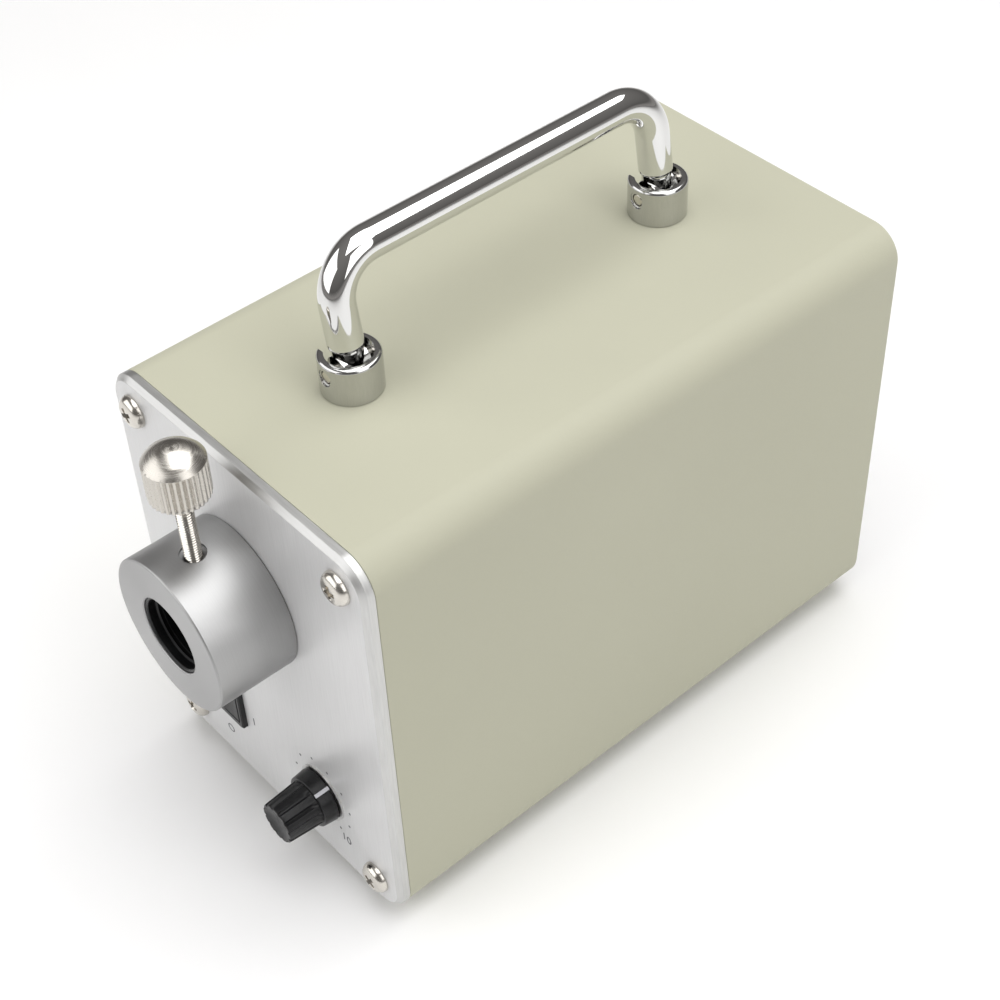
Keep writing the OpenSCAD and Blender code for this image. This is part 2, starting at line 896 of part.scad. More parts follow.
module thumb_screw_shank() {
    color([0.74, 0.74, 0.72]) seated() at_thumb() {
        rod_z(thumb_shank_d / 2 - thumb_edge, thumb_tip, thumb_tip + thumb_edge, thumb_shank_d / 2);
        rod_z(thumb_shank_d / 2, thumb_tip + thumb_edge, thumb_low + thumb_grip_l);
    }
}

module engine_bracket() {
    color([0.64, 0.65, 0.66]) seated()
        difference() {
            union() {
                block([port_x - web_w / 2, web_y, web_low], [port_x + web_w / 2, web_y + web_t, web_top]);
                block([port_x - leg_w / 2, web_y, tray_top], [port_x + leg_w / 2, web_y + web_t, web_low]);
                block([port_x - leg_w / 2, web_y, tray_top],
                    [port_x + leg_w / 2, web_y + bracket_foot_l, tray_top + web_t]);
            }
            at_port() {
                rod_y(window_r, web_y - cut, web_y + web_t + cut);
                at_sink_screws() rod_y(m3_r + seat_gap, web_y - cut, web_y + web_t + cut);
            }
            for (y = bracket_screw_y)
                translate([port_x, y, 0]) rod_z(m3_r + seat_gap, 0, tray_top + web_t + cut);
        }
}

module at_sink_screws() {
    for (x = [-1, 1], z = [-1, 1])
        translate([x * sink_screw_span / 2, 0, z * sink_screw_span / 2]) children();
}

module bracket_screws() {
    color([0.72, 0.72, 0.70]) seated()
        for (y = bracket_screw_y)
            translate([port_x, y, tray_top + web_t])
                pan_screw(m3_r, m3_head_r, m3_head_h, web_t + sheet_t - seat_gap);
}

module heat_sink() {
    fin_y = sink_y + sink_base_t;
    color([0.14, 0.14, 0.15]) seated() at_port()
        difference() {
            union() {
                block([-sink_w / 2, sink_y, -sink_w / 2], [sink_w / 2, fin_y, sink_w / 2]);
                for (i = [0:fin_count - 1]) {
                    x = (i / (fin_count - 1) - 1 / 2) * (sink_w - fin_t);
                    block([x - fin_t / 2, sink_y, -sink_w / 2], [x + fin_t / 2, fin_y + fin_l, sink_w / 2]);
                }
            }
            at_sink_screws() rod_y(m3_r + run_gap, sink_y - cut, fin_y - seat_gap);
            for (x = [-led_screw_x, led_screw_x])
                translate([x, 0, 0]) rod_y(m2_r + run_gap, sink_y - cut, fin_y - seat_gap);
        }
}

module heat_sink_screws() {
    color([0.72, 0.72, 0.70]) seated() at_port() at_sink_screws()
        translate([0, web_y, 0]) facing_front()
        pan_screw(m3_r, m3_head_r, m3_head_h, sink_screw_l);
}

module led_board() {
    color([0.90, 0.91, 0.92]) seated() at_port()
        difference() {
            rod_y(led_board_r, led_front_y, sink_y);
            for (x = [-led_screw_x, led_screw_x])
                translate([x, 0, 0]) rod_y(m2_r + run_gap, led_front_y - cut, sink_y + cut);
        }
}

module led_emitter() {
    color([0.95, 0.85, 0.35]) seated() at_port()
        union() {
            block([-led_base_w / 2, led_front_y - led_base_t, -led_base_w / 2],
                [led_base_w / 2, led_front_y, led_base_w / 2]);
            intersection() {
                translate([0, led_front_y - led_base_t, 0]) sphere(led_dome_r, $fn = small_fn);
                rod_y(led_dome_r, led_front_y - led_base_t - led_dome_r, led_front_y - led_base_t / 2);
            }
        }
}

module led_board_screws() {
    color([0.72, 0.72, 0.70]) seated() at_port()
        for (x = [-led_screw_x, led_screw_x])
            translate([x, led_front_y, 0]) facing_front()
                pan_screw(m2_r, m2_head_r, m2_head_h, led_screw_l);
}

module rocker_housing() {
    well_x = bezel_w / 2 - bezel_rim;
    well_z = switch_body_h / 2 - seat_gap - bezel_rim / 2;
    color([0.08, 0.08, 0.08]) seated() at_switch()
        difference() {
            union() {
                block([-bezel_w / 2, bezel_y, -bezel_h / 2], [bezel_w / 2, front_y, bezel_h / 2]);
                block([-switch_body_w / 2, front_y, -switch_body_h / 2],
                    [switch_body_w / 2, switch_body_l, switch_body_h / 2]);
            }
            block([-well_x, bezel_y - cut, -well_z], [well_x, front_y, well_z]);
            block([bezel_rim / 2 - switch_body_w / 2, bezel_y - cut, -well_z],
                [switch_body_w / 2 - bezel_rim / 2, bezel_y + rocker_well, well_z]);
            translate([0, pivot_y, 0])
                rod_z(pivot_r + run_gap, -well_z - pivot_reach - run_gap, well_z + pivot_reach + run_gap);
            for (x = blade_x)
                block([x - blade_t / 2, switch_body_l - blade_l / 2, -blade_w / 2],
                    [x + blade_t / 2, switch_body_l + cut, blade_w / 2]);
        }
}

// The rocker is drawn level, then pressed down on its right side, as it rests
module rocker_button() {
    well_z = switch_body_h / 2 - seat_gap - bezel_rim / 2;
    half_z = well_z - rocker_gap;
    tip_y = pivot_depth + rocker_half * tan(rock_angle / 2);
    color([0.07, 0.07, 0.07]) seated() at_switch()
        translate([0, pivot_y, 0]) rotate(rock_angle / 2) {
            translate([0, 0, -half_z]) linear_extrude(2 * half_z)
                polygon([[0, -pivot_depth], [rocker_half, -tip_y],
                    [rocker_half * rocker_root_share, rocker_root_depth],
                    [-rocker_half * rocker_root_share, rocker_root_depth], [-rocker_half, -tip_y]]);
            rod_z(pivot_r, -well_z - pivot_reach, well_z + pivot_reach);
        }
}

module rocker_terminals() {
    color([0.80, 0.68, 0.35]) seated() at_switch()
        for (x = blade_x)
            block([x - blade_t / 2, switch_body_l - blade_l / 2, -blade_w / 2],
                [x + blade_t / 2, switch_body_l + blade_l, blade_w / 2]);
}

module potentiometer() {
    color([0.45, 0.47, 0.48]) seated() at_dial()
        difference() {
            union() {
                rod_y(pot_r, 0, pot_l);
                rod_y(bush_r, front_y - bush_l, pot_l / 2);
                for (i = [-1, 0, 1])
                    block([i * lug_pitch - lug_w / 2, pot_l / 2, -pot_r - lug_l],
                        [i * lug_pitch + lug_w / 2, pot_l / 2 + lug_t, 0]);
            }
            rod_y(shaft_r + run_gap, front_y - bush_l - cut, shaft_tail + run_gap);
        }
}

module pot_shaft() {
    color([0.75, 0.76, 0.77]) seated() at_dial() rod_y(shaft_r, front_y - shaft_reach, shaft_tail);
}

module pot_washer() {
    color([0.78, 0.78, 0.78]) seated() at_dial()
        difference() {
            rod_y(pot_washer_r, front_y - pot_washer_t, front_y);
            rod_y(bush_r + seat_gap, front_y - pot_washer_t - cut, front_y + cut);
        }
}

module pot_nut() {
    color([0.76, 0.74, 0.66]) seated() at_dial()
        translate([0, front_y - pot_washer_t, 0]) facing_front()
        hex_nut(pot_nut_r, bush_r + run_gap, pot_nut_h);
}

// Knob, with its axis on y and its skirt just in front of the panel
module dial_knob() {
    skirt_y = front_y - skirt_back - skirt_t;
    end_y = front_y - knob_reach;
    groove_r = knob_root_d * rib_groove_share;
    color([0.08, 0.08, 0.08]) seated() at_dial()
        difference() {
            union() {
                rod_y(skirt_front_d / 2, skirt_y, front_y - skirt_back, skirt_d / 2);
                rod_y(knob_end_d / 2, end_y + knob_edge, skirt_y, knob_root_d / 2);
                rod_y(knob_end_d / 2 - knob_edge, end_y, end_y + knob_edge, knob_end_d / 2);
            }
            for (i = [0:knob_ribs - 1]) rotate([0, pointer_turn + (i + 1 / 2) * 360 / knob_ribs, 0])
                rib_groove(groove_r, skirt_y, end_y);
            translate([0, end_y + knob_dish_h - knob_dish_r, 0]) sphere(knob_dish_r);
            rod_y(knob_recess_r, front_y - knob_recess_reach, front_y);
            rod_y(shaft_r + run_gap, front_y - shaft_reach - seat_gap, front_y);
        }
}

// Round groove that follows the knob's taper, open at the outer end
module rib_groove(r, skirt_y, end_y) {
    lean = atan((knob_root_d - knob_end_d) / 2 / (skirt_y - end_y));
    translate([0, skirt_y, knob_root_d / 2 + r / 2])
        rotate([lean, 0, 0])
        rotate([90, 0, 0])
        cylinder(h = skirt_y - end_y + 2 * cut, r = r, $fn = small_fn);
}

// Pale line along the side of the skirt
module knob_pointer() {
    back = front_y - skirt_back;
    front = back - skirt_t;
    color([0.92, 0.92, 0.88]) seated() at_dial() rotate([0, pointer_turn, 0])
        intersection() {
            difference() {
                rod_y(skirt_front_d / 2 + pointer_rise, front, back, skirt_d / 2 + pointer_rise);
                rod_y(skirt_front_d / 2, front, back, skirt_d / 2);
            }
            block([-pointer_w / 2, front, 0], [pointer_w / 2, back, skirt_d]);
        }
}

module driver_board() {
    color([0.12, 0.38, 0.22]) seated()
        difference() {
            block([-board_w / 2, board_front, board_z - board_t],
                [board_w / 2, board_front + board_l, board_z]);
            at_standoffs() rod_z(m3_r + seat_gap, 0, board_z + cut);
        }
}

module board_standoffs() {
    color([0.80, 0.70, 0.40]) seated() at_standoffs()
        difference() {
            union() {
                rod_z(standoff_r, tray_top, tray_top + standoff_h);
                rod_z(m3_r, wall + lay_gap, tray_top);
            }
            rod_z(m3_r + run_gap, tray_top + lay_gap, tray_top + standoff_h + cut);
        }
}

module board_screws() {
    color([0.72, 0.72, 0.70]) seated() at_standoffs()
        translate([0, 0, board_z]) pan_screw(m3_r, m3_head_r, m3_head_h, board_screw_l);
}

module transformer() {
    color([0.75, 0.60, 0.25]) seated() translate([core_x, core_y, board_z]) {
        difference() {
            block([-core_w / 2, -core_d / 4, 0], [core_w / 2, core_d / 4, core_h]);
            for (x = [-1, 1])
                translate([x * (core_w / 4 - core_leg / 4), 0, core_h / 2])
                    block([-core_leg / 2, -core_d, core_leg - core_h / 2],
                        [core_leg / 2, core_d, core_h / 2 - core_leg]);
        }
        difference() {
            block([-core_w / 2 + core_leg + winding_gap, -core_d / 2, core_leg + winding_gap],
                [core_w / 2 - core_leg - winding_gap, core_d / 2, core_h - core_leg - winding_gap]);
            block([-core_w, -core_d / 4, core_leg], [core_w, core_d / 4, core_h]);
        }
    }
}

module capacitors() {
    color([0.12, 0.16, 0.30]) seated()
        for (share = cap_shares)
            translate([share[0] * board_w, board_front + share[1] * board_l, board_z])
                rotate_extrude()
                polygon(concat([[0, 0], [cap_r, 0]],
                    arc([cap_r - cap_top_round, cap_h - cap_top_round], cap_top_round, 0, 90, 5),
                    [[0, cap_h]]));
}

module power_transistor() {
    color([0.10, 0.10, 0.11]) seated() translate([transistor_x, transistor_y, board_z]) {
        block([-transistor_w / 2, -transistor_t, pin_h], [transistor_w / 2, 0, pin_h + transistor_h]);
        for (x = [-1, 0, 1])
            block([x * transistor_w / 4 - pin_w / 2, -transistor_t / 2 - pin_w / 2, 0],
                [x * transistor_w / 4 + pin_w / 2, -transistor_t / 2 + pin_w / 2, pin_h + pin_w]);
    }
}

module transistor_heat_sink() {
    color([0.70, 0.71, 0.72]) seated() translate([transistor_x, transistor_y, board_z]) {
        block([-rad_w / 2, 0, 0], [rad_w / 2, rad_t, rad_h]);
        for (i = [0:rad_fins - 1]) {
            x = (i / (rad_fins - 1) - 1 / 2) * (rad_w - rad_t);
            block([x - rad_t / 2, 0, 0], [x + rad_t / 2, rad_t + rad_fin_l, rad_h]);
        }
    }
}

module terminal_blocks() {
    width = block_ways * way_pitch;
    for (side = [[board_front + lay_gap, 0], [board_front + board_l - lay_gap, 180]])
        color([0.16, 0.42, 0.30]) seated() translate([0, side[0], board_z]) rotate(side[1])
            difference() {
                block([-width / 2, 0, 0], [width / 2, way_depth, way_h]);
                for (i = [0:block_ways - 1])
                    translate([(i + 1 / 2) * way_pitch - width / 2, 0, 0]) {
                        translate([0, way_depth / 2, 0]) rod_z(way_screw_r, way_h - way_sink, way_h + cut);
                        translate([0, 0, way_h / 2]) rod_y(way_mouth_r, -cut, way_sink);
                    }
            }
}

module fuse_clips() {
    color([0.82, 0.82, 0.80]) seated() translate([fuse_x, fuse_y, board_z])
        for (y = [0, fuse_l - clip_w]) translate([0, y, 0]) {
            block([-fuse_r, 0, 0], [fuse_r, clip_w, clip_t]);
            for (x = [-fuse_r - clip_t - lay_gap, fuse_r + lay_gap])
                block([x, 0, 0], [x + clip_t, clip_w, fuse_rise + fuse_r]);
            block([-fuse_r - clip_t - lay_gap, 0, 0], [fuse_r + clip_t + lay_gap, clip_w, clip_t]);
        }
}

module fuse_link() {
    color([0.85, 0.86, 0.84]) seated() translate([fuse_x, fuse_y, board_z + fuse_rise]) {
        rod_y(fuse_r, 0, fuse_cap_l);
        rod_y(fuse_r - lay_gap, fuse_cap_l, fuse_l - fuse_cap_l);
        rod_y(fuse_r, fuse_l - fuse_cap_l, fuse_l);
    }
}

module fan_frame() {
    half = fan_size / 2;
    color([0.12, 0.12, 0.13]) seated() at_fan() {
        difference() {
            block([-half, fan_front, -half], [half, sleeve_l, half]);
            rod_y(duct_r, fan_front - cut, sleeve_l + cut);
            at_fan_screws() rod_y(m4_r + run_gap, fan_front - cut, sleeve_l + cut);
        }
        difference() {
            union() {
                rod_y(hub_plate_r, fan_front, fan_front + fan_web_t);
                rod_y(bearing_r, fan_front, fan_front + fan_t / 2);
                for (i = [0:fan_struts - 1]) rotate([0, 90 + i * 360 / fan_struts, 0])
                    block([-fan_strut_w / 2, fan_front, 0],
                        [fan_strut_w / 2, fan_front + fan_web_t, duct_r + cut / 2]);
            }
            rod_y(fan_shaft_r + run_gap, fan_front + fan_web_t / 2, fan_front + fan_t);
        }
    }
}

module fan_rotor() {
    low = fan_front + fan_web_t + rotor_gap;
    high = sleeve_l - rotor_set;
    color([0.16, 0.16, 0.17]) seated() at_fan() {
        difference() {
            rod_y(fan_hub_r, low, high);
            rod_y(fan_hub_r - fan_hub_wall, low - cut, high - 2 * fan_hub_wall);
        }
        rod_y(fan_shaft_r, fan_front + fan_web_t / 2 + run_gap, high - fan_hub_wall);
        for (i = [0:fan_blades - 1])
            rotate([0, i * 360 / fan_blades, 0]) fan_blade(low + rotor_gap / 2, high - rotor_gap / 2);
    }
}

// One pitched blade, cut to the ring between the hub and the duct
module fan_blade(low, high) {
    mid = (low + high) / 2;
    intersection() {
        translate([0, mid, 0]) rotate([0, 0, blade_pitch])
            block([-fan_size, -blade_thick / 2, 0], [fan_size, blade_thick / 2, fan_size / 2]);
        block([-fan_hub_r, low, 0], [fan_hub_r, high, fan_size]);
        difference() {
            rod_y(duct_r - blade_gap, low, high);
            rod_y(fan_hub_r - fan_hub_wall / 2, low - cut, high + cut);
        }
    }
}

module fan_guard() {
    low = rear_y + guard_rise;
    high = low + guard_wire;
    half_w = guard_wire / 2;
    rim = guard_rings[len(guard_rings) - 1];
    ear = fan_screw_span * sqrt(1 / 2);
    color([0.78, 0.79, 0.80]) seated() at_fan()
        difference() {
            union() {
                for (r = guard_rings)
                    difference() {
                        rod_y(r + half_w, low, high);
                        rod_y(r - half_w, low - cut, high + cut);
                    }
                for (turn = [45:90:315]) rotate([0, turn, 0]) {
                    block([-half_w, low, guard_rings[0] - half_w], [half_w, high, rim]);
                    translate([-guard_ear_r / 2, 0, 0]) rotate([90, 0, 90]) linear_extrude(guard_ear_r)
                        polygon([[low, rim - half_w], [high, rim - half_w], [high, rim + half_w],
                            [rear_y + guard_wire, ear - guard_ear_r], [rear_y + guard_wire, ear],
                            [rear_y, ear], [rear_y, ear - guard_ear_r - guard_wire],
                            [low, rim + half_w / 2]]);
                    translate([0, 0, ear]) rod_y(guard_ear_r, rear_y, rear_y + guard_wire);
                }
            }
            at_fan_screws() rod_y(fan_hole_r, rear_y - cut, rear_y + guard_wire + cut);
        }
}

module fan_screws() {
    color([0.80, 0.80, 0.78]) seated() at_fan() at_fan_screws()
        translate([0, rear_y + guard_wire, 0]) facing_back()
        pan_screw(m4_r, m4_head_r, m4_head_h, fan_screw_l);
}

// Outline of the socket: a box with its two upper corners clipped
module socket_outline(w, h, clip) {
    polygon([[-w / 2, -h / 2], [w / 2, -h / 2], [w / 2, h / 2 - clip], [w / 2 - clip, h / 2],
        [clip - w / 2, h / 2], [-w / 2, h / 2 - clip]]);
}

module inlet_housing() {
    mouth_y = rear_y + flange_t;
    color([0.09, 0.09, 0.09]) seated() at_inlet()
        difference() {
            union() {
                plate_y(rear_y, mouth_y) rounded_rect(flange_w, flange_h, flange_corner);
                block([-inlet_body_w / 2, rear_y - inlet_depth, -inlet_body_h / 2],
                    [inlet_body_w / 2, rear_y, inlet_body_h / 2]);
            }
            plate_y(mouth_y - socket_depth, mouth_y + cut) socket_outline(socket_w, socket_h, socket_clip);
            for (x = [-inlet_screw_x, inlet_screw_x]) translate([x, 0, 0]) {
                rod_y(m3_r + seat_gap, rear_y - cut, mouth_y + cut);
                rod_y(m3_r, mouth_y - inlet_sink_h - seat_gap, mouth_y, m3_head_r + seat_gap);
            }
            for (i = [0:len(inlet_pin_x) - 1])
                inlet_blade(i, mouth_y - socket_depth - inlet_depth, mouth_y, 0);
        }
}

module inlet_blade(i, from, to, ease) {
    block([inlet_pin_x[i] - inlet_pin_w / 2 - ease, from, inlet_pin_z[i] - inlet_pin_h / 2 - ease],
        [inlet_pin_x[i] + inlet_pin_w / 2 + ease, to, inlet_pin_z[i] + inlet_pin_h / 2 + ease]);
}

module inlet_pins() {
    root = rear_y + flange_t - socket_depth;
    color([0.82, 0.80, 0.70]) seated() at_inlet()
        for (i = [0:len(inlet_pin_x) - 1])
            inlet_blade(i, rear_y - inlet_depth - inlet_tab_l, root + inlet_pin_l, 0);
}

module inlet_screws() {
    color([0.80, 0.80, 0.78]) seated() at_inlet()
        for (x = [-inlet_screw_x, inlet_screw_x])
            translate([x, rear_y + flange_t - lay_gap, 0]) facing_back()
                countersunk_screw(m3_r, m3_head_r, inlet_sink_h, inlet_screw_l);
}

// Place of one way's wire mouth on a terminal block, front or back
function way_place(i, back) =
    [(i + 1 / 2 - block_ways / 2) * way_pitch,
        back ? board_front + board_l - lay_gap : board_front + lay_gap, board_z + way_h / 2];

module led_leads() {
    pad_share = 0.62;
    color([0.75, 0.12, 0.10]) seated()
        for (i = [2, 3]) {
            side = i == 2 ? -1 : 1;
            end = way_place(i, false);
            out = port_x + leg_w / 2 + 4 * lead_r * (1 + side / 2);
            pad = [port_x + side * led_board_r * pad_share / 2, led_front_y - lead_r,
                port_z - led_board_r * pad_share];
            lead([pad, [pad[0], web_y - 2 * lead_r, port_z - window_r - 2 * lead_r],
                [out, web_y - 2 * lead_r, web_low - 2 * lead_r],
                [out, web_y + 6 * lead_r, web_low / 2 + end[2] / 2],
                [end[0], end[1] - 8 * lead_r, end[2]], end - [0, lead_end, 0]]);
        }
}

module switch_leads() {
    color([0.12, 0.12, 0.12]) seated()
        for (i = [0, 1]) {
            end = way_place(i, false);
            start = [switch_x + blade_x[i] - blade_t / 2 - lead_r, switch_body_l + blade_l / 2, switch_z];
            lead([start, start + [0, blade_l, 0], [end[0], end[1] - 8 * lead_r, end[2]],
                end - [0, lead_end, 0]]);
        }
}

module pot_leads() {
    color([0.85, 0.85, 0.80]) seated()
        for (i = [0, 1]) {
            end = way_place(i + block_ways - 1 - 1, false);
            start = [dial_x + (i - 1) * lug_pitch + lug_w, pot_l / 2 + lug_t + lead_r,
                dial_z - pot_r - lug_l / 2];
            lead([start, start + [2 * lead_r, tray_front + lead_r, 0],
                [end[0], end[1] - 8 * lead_r, end[2]], end - [0, lead_end, 0]]);
        }
}

module fan_leads() {
    color([0.80, 0.15, 0.12]) seated()
        for (i = [0, 1]) {
            end = way_place(i, true);
            start = [-fan_size / 4 + i * 3 * lead_r, fan_front - lead_r, fan_z - fan_size / 2 + 4 * lead_r];
            lead([start, [start[0], start[1] - 4 * lead_r, start[2] - 4 * lead_r],
                [end[0], end[1] + 4 * lead_r, end[2] + 6 * lead_r], [end[0], end[1] + 3 * lead_r, end[2]],
                end + [0, lead_end, 0]]);
        }
}

module inlet_leads() {
    tab_y = rear_y - inlet_depth - inlet_tab_l / 2;
    color([0.30, 0.22, 0.15]) seated()
        for (i = [0, 1, 2]) {
            end = way_place(i + 2, true);
            start = [inlet_pin_x[i] + inlet_pin_w / 2 + lead_r, tab_y, inlet_z + inlet_pin_z[i]];
            lead([start, start - [0, inlet_tab_l, 0], [end[0], end[1] + 3 * lead_r, end[2]],
                end + [0, lead_end, 0]]);
        }
}

case_sleeve();
front_panel();
rear_panel();
front_panel_screws();
rear_panel_screws();
rubber_feet();
foot_screws();
chassis_tray();
carry_handle();
handle_collars();
handle_pins();
handle_screws();
handle_washers();
handle_nuts();
light_port();
port_liner();
port_lock_nut();
condenser_lens();
lens_retaining_ring();
thumb_screw_head();
thumb_screw_shank();
engine_bracket();
bracket_screws();
heat_sink();
heat_sink_screws();
led_board();
led_emitter();
led_board_screws();
rocker_housing();
rocker_button();
rocker_terminals();
potentiometer();
pot_shaft();
pot_washer();
pot_nut();
dial_knob();
knob_pointer();
driver_board();
board_standoffs();
board_screws();
transformer();
capacitors();
power_transistor();
transistor_heat_sink();
terminal_blocks();
fuse_clips();
fuse_link();
fan_frame();
fan_rotor();
fan_guard();
fan_screws();
inlet_housing();
inlet_pins();
inlet_screws();
led_leads();
switch_leads();
pot_leads();
fan_leads();
inlet_leads();
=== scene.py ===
import json
import math

import bmesh
import bpy
from bpy.props import FloatProperty, FloatVectorProperty, IntProperty, PointerProperty
from mathutils import Matrix, Vector


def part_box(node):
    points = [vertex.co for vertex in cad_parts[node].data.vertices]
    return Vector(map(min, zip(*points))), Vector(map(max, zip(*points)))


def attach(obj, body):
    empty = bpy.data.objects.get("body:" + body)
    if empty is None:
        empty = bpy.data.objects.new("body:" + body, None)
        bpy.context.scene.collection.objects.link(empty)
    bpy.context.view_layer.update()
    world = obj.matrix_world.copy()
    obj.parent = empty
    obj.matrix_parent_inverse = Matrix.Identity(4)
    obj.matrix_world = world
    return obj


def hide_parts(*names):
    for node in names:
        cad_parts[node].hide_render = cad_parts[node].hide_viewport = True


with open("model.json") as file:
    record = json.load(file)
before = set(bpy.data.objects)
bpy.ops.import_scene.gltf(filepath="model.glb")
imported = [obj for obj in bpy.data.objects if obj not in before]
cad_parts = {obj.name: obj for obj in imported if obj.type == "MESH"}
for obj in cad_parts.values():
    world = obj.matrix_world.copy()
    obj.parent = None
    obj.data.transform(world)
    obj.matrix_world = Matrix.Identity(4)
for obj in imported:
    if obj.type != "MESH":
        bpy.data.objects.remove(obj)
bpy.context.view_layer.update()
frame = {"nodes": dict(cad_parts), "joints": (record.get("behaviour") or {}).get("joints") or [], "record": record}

bl_info = {
    "name": "Fiber optic illuminator",
    "version": (1, 0, 0),
    "blender": (4, 5, 0),
    "location": "3D View > Sidebar > Illuminator",
    "description": "Builds and finishes a bench light source around its packed construction",
    "category": "Object",
}

MM = 0.001
ROUND = 128
SMALL_ROUND = 48
CASE_STEPS = 20
SHARP = math.radians(32)
WELD = 2e-6
SLIVER = 1e-7
CORNER_SHARE = 0.45
EVEN = (1, 1, 1)
WAVE_LENGTH = math.pi / 10


# Settings


def length(name, millimetres, description):
    """A size that a user can change."""
    return FloatProperty(
        name=name, description=description, default=millimetres * MM, unit="LENGTH", precision=5)


def angle(name, degrees, description):
    """An angle that a user can change."""
    return FloatProperty(name=name, description=description, default=math.radians(degrees), unit="ROTATION")


def number(name, default, least, description):
    """A count that a user can change."""
    return IntProperty(name=name, description=description, default=default, min=least)


def colour(name, rgb, description):
    """A linear colour that a user can change."""
    return FloatVectorProperty(
        name=name, description=description, default=rgb, subtype="COLOR", min=0, max=1)


class CaseSizes(bpy.types.PropertyGroup):
    corner: length("Corner", 8, "Radius of the sleeve's long edges")
    wall: length("Wall", 2, "Thickness of the sleeve's sheet")
    edge: length("Edge", 0.35, "Rounding of the sleeve's cut ends")
    bevel: length("Bevel", 1.2, "Width of the front panel's bright bevel")
    hole_edge: length("Hole edge", 0.15, "Chamfer of the panel's holes")
    screw_head: length("Screw head", 8, "Diameter of a panel screw's head")
    screw_height: length("Screw height", 2.4, "Height of a panel screw's head")
    slots: number("Slots", 6, 1, "Air slots in the sleeve's floor")
    slot_width: length("Slot width", 3, "Width of an air slot")
    slot_length: length("Slot length", 34, "Length of an air slot")
    slot_pitch: length("Slot pitch", 7, "Distance between air slots")
    slot_front: length("Slot front", 62, "Distance of the air slots from the front edge")
    block: length("Block", 4.2, "Radius of the blocks that take the panel screws")
    block_length: length("Block length", 12, "Length of the blocks that take the panel screws")


class PortSizes(bpy.types.PropertyGroup):
    mouth: length("Mouth", 9.3, "Radius of the barrel's mouth")
    bore: length("Bore", 8, "Radius of the liner's bore")
    liner_mouth: length("Liner mouth", 8.6, "Radius of the liner's wider mouth")
    liner_step: length("Liner step", 2.5, "Depth of the liner's wider mouth")
    rim: length("Rim", 0.35, "Chamfer of the barrel's rim")
    clamp_hole: length("Clamp hole", 2.05, "Radius of the clamp screw's hole")
    flute: length("Flute", 0.5, "Depth of the clamp screw's flutes")
    pitch: length("Pitch", 0.7, "Pitch of the clamp screw's thread")
    thread: length("Thread", 0.38, "Depth of the clamp screw's thread")
    flutes: number("Flutes", 32, 8, "Flutes around the clamp screw")


class HandleSizes(bpy.types.PropertyGroup):
    rod: length("Rod", 4, "Radius of the handle's rod")
    neck: length("Neck", 3.5, "Radius of the rod inside a collar")
    neck_length: length("Neck length", 4.8, "Height of the neck over its pin")
    bend: length("Bend", 10.3, "Radius of the rod's bends")
    reach: length("Reach", 24.5, "Height of the grip over the pins")
    span: length("Span", 90, "Distance between the legs")
    pin_height: length("Pin height", 6, "Height of the pins over the sleeve")
    lean: angle("Lean", 9, "Lean of the handle from upright")
    collar_edge: length("Collar edge", 0.9, "Rounding of a collar's rim")
    cup: length("Cup", 5.4, "Radius of a collar's cup")
    slot: length("Slot", 8.4, "Width of a collar's slot")


class ControlSizes(bpy.types.PropertyGroup):
    skirt: length("Skirt", 3.7, "Thickness of the knob's skirt")
    skirt_front: length("Skirt front", 6.6, "Radius of the front of the knob's skirt")
    root: length("Root", 5.8, "Radius of the knob's ribbed body at the skirt")
    end: length("End", 5.2, "Radius of the knob's outer end")
    groove: length("Groove", 0.6, "Depth of the grooves between the knob's ribs")
    dish: length("Dish", 0.9, "Depth of the hollow in the knob's end")
    ribs: number("Ribs", 12, 6, "Ribs around the knob")
    ring: length("Ring", 10.1, "Radius of the ring of dots around the dial")
    dot: length("Dot", 0.36, "Radius of a dot")
    dots: number("Dots", 10, 2, "Dots around the dial")
    sweep: angle("Sweep", 148.5, "Turn of the last dot from the top")
    digit: length("Digit", 2.6, "Height of a printed digit")


class Colours(bpy.types.PropertyGroup):
    coat: colour("Coat", (0.472, 0.468, 0.365), "Powder coat")
    aluminium: colour("Aluminium", (0.79, 0.79, 0.79), "Aluminium")
    chrome: colour("Chrome", (0.72, 0.72, 0.71), "Chrome plate")
    nickel: colour("Nickel", (0.66, 0.63, 0.58), "Nickel plate")
    plastic: colour("Plastic", (0.006, 0.006, 0.007), "Black plastic")
    rubber: colour("Rubber", (0.02, 0.02, 0.02), "Black rubber")
    print: colour("Print", (0.10, 0.10, 0.11), "Printed marks")
    floor: colour("Floor", (0.94, 0.94, 0.94), "Studio floor")


class Studio(bpy.types.PropertyGroup):
    azimuth: angle("Azimuth", 50.56, "Camera's turn from the front")
    elevation: angle("Elevation", 44.24, "Camera's height angle")
    roll: angle("Roll", -2.77, "Camera's roll")
    distance: length("Distance", 456.8, "Camera's distance from its target")
    target: FloatVectorProperty(
        name="Target", description="Point that the camera looks at", default=(0, 0.0006, 0.06027),
        subtype="TRANSLATION")
    lens: FloatProperty(name="Lens", description="Focal length in millimetres", default=68.37)


class Settings(bpy.types.PropertyGroup):
    case: PointerProperty(type=CaseSizes)
    port: PointerProperty(type=PortSizes)
    handle: PointerProperty(type=HandleSizes)
    control: PointerProperty(type=ControlSizes)
    colours: PointerProperty(type=Colours)
    studio: PointerProperty(type=Studio)


# Places


SLOTS = {part["node"]: part["material_slot"] for part in frame["record"]["subparts"]}


def low(node):
    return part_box(node)[0]


def high(node):
    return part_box(node)[1]


def middle(node):
    return (low(node) + high(node)) / 2


def corners(node, inset):
    """The four places of a group of like screws, as x and z."""
    a, b = low(node), high(node)
    return [(x, z) for x in (a.x + inset, b.x - inset) for z in (a.z + inset, b.z - inset)]


# Outlines and skins


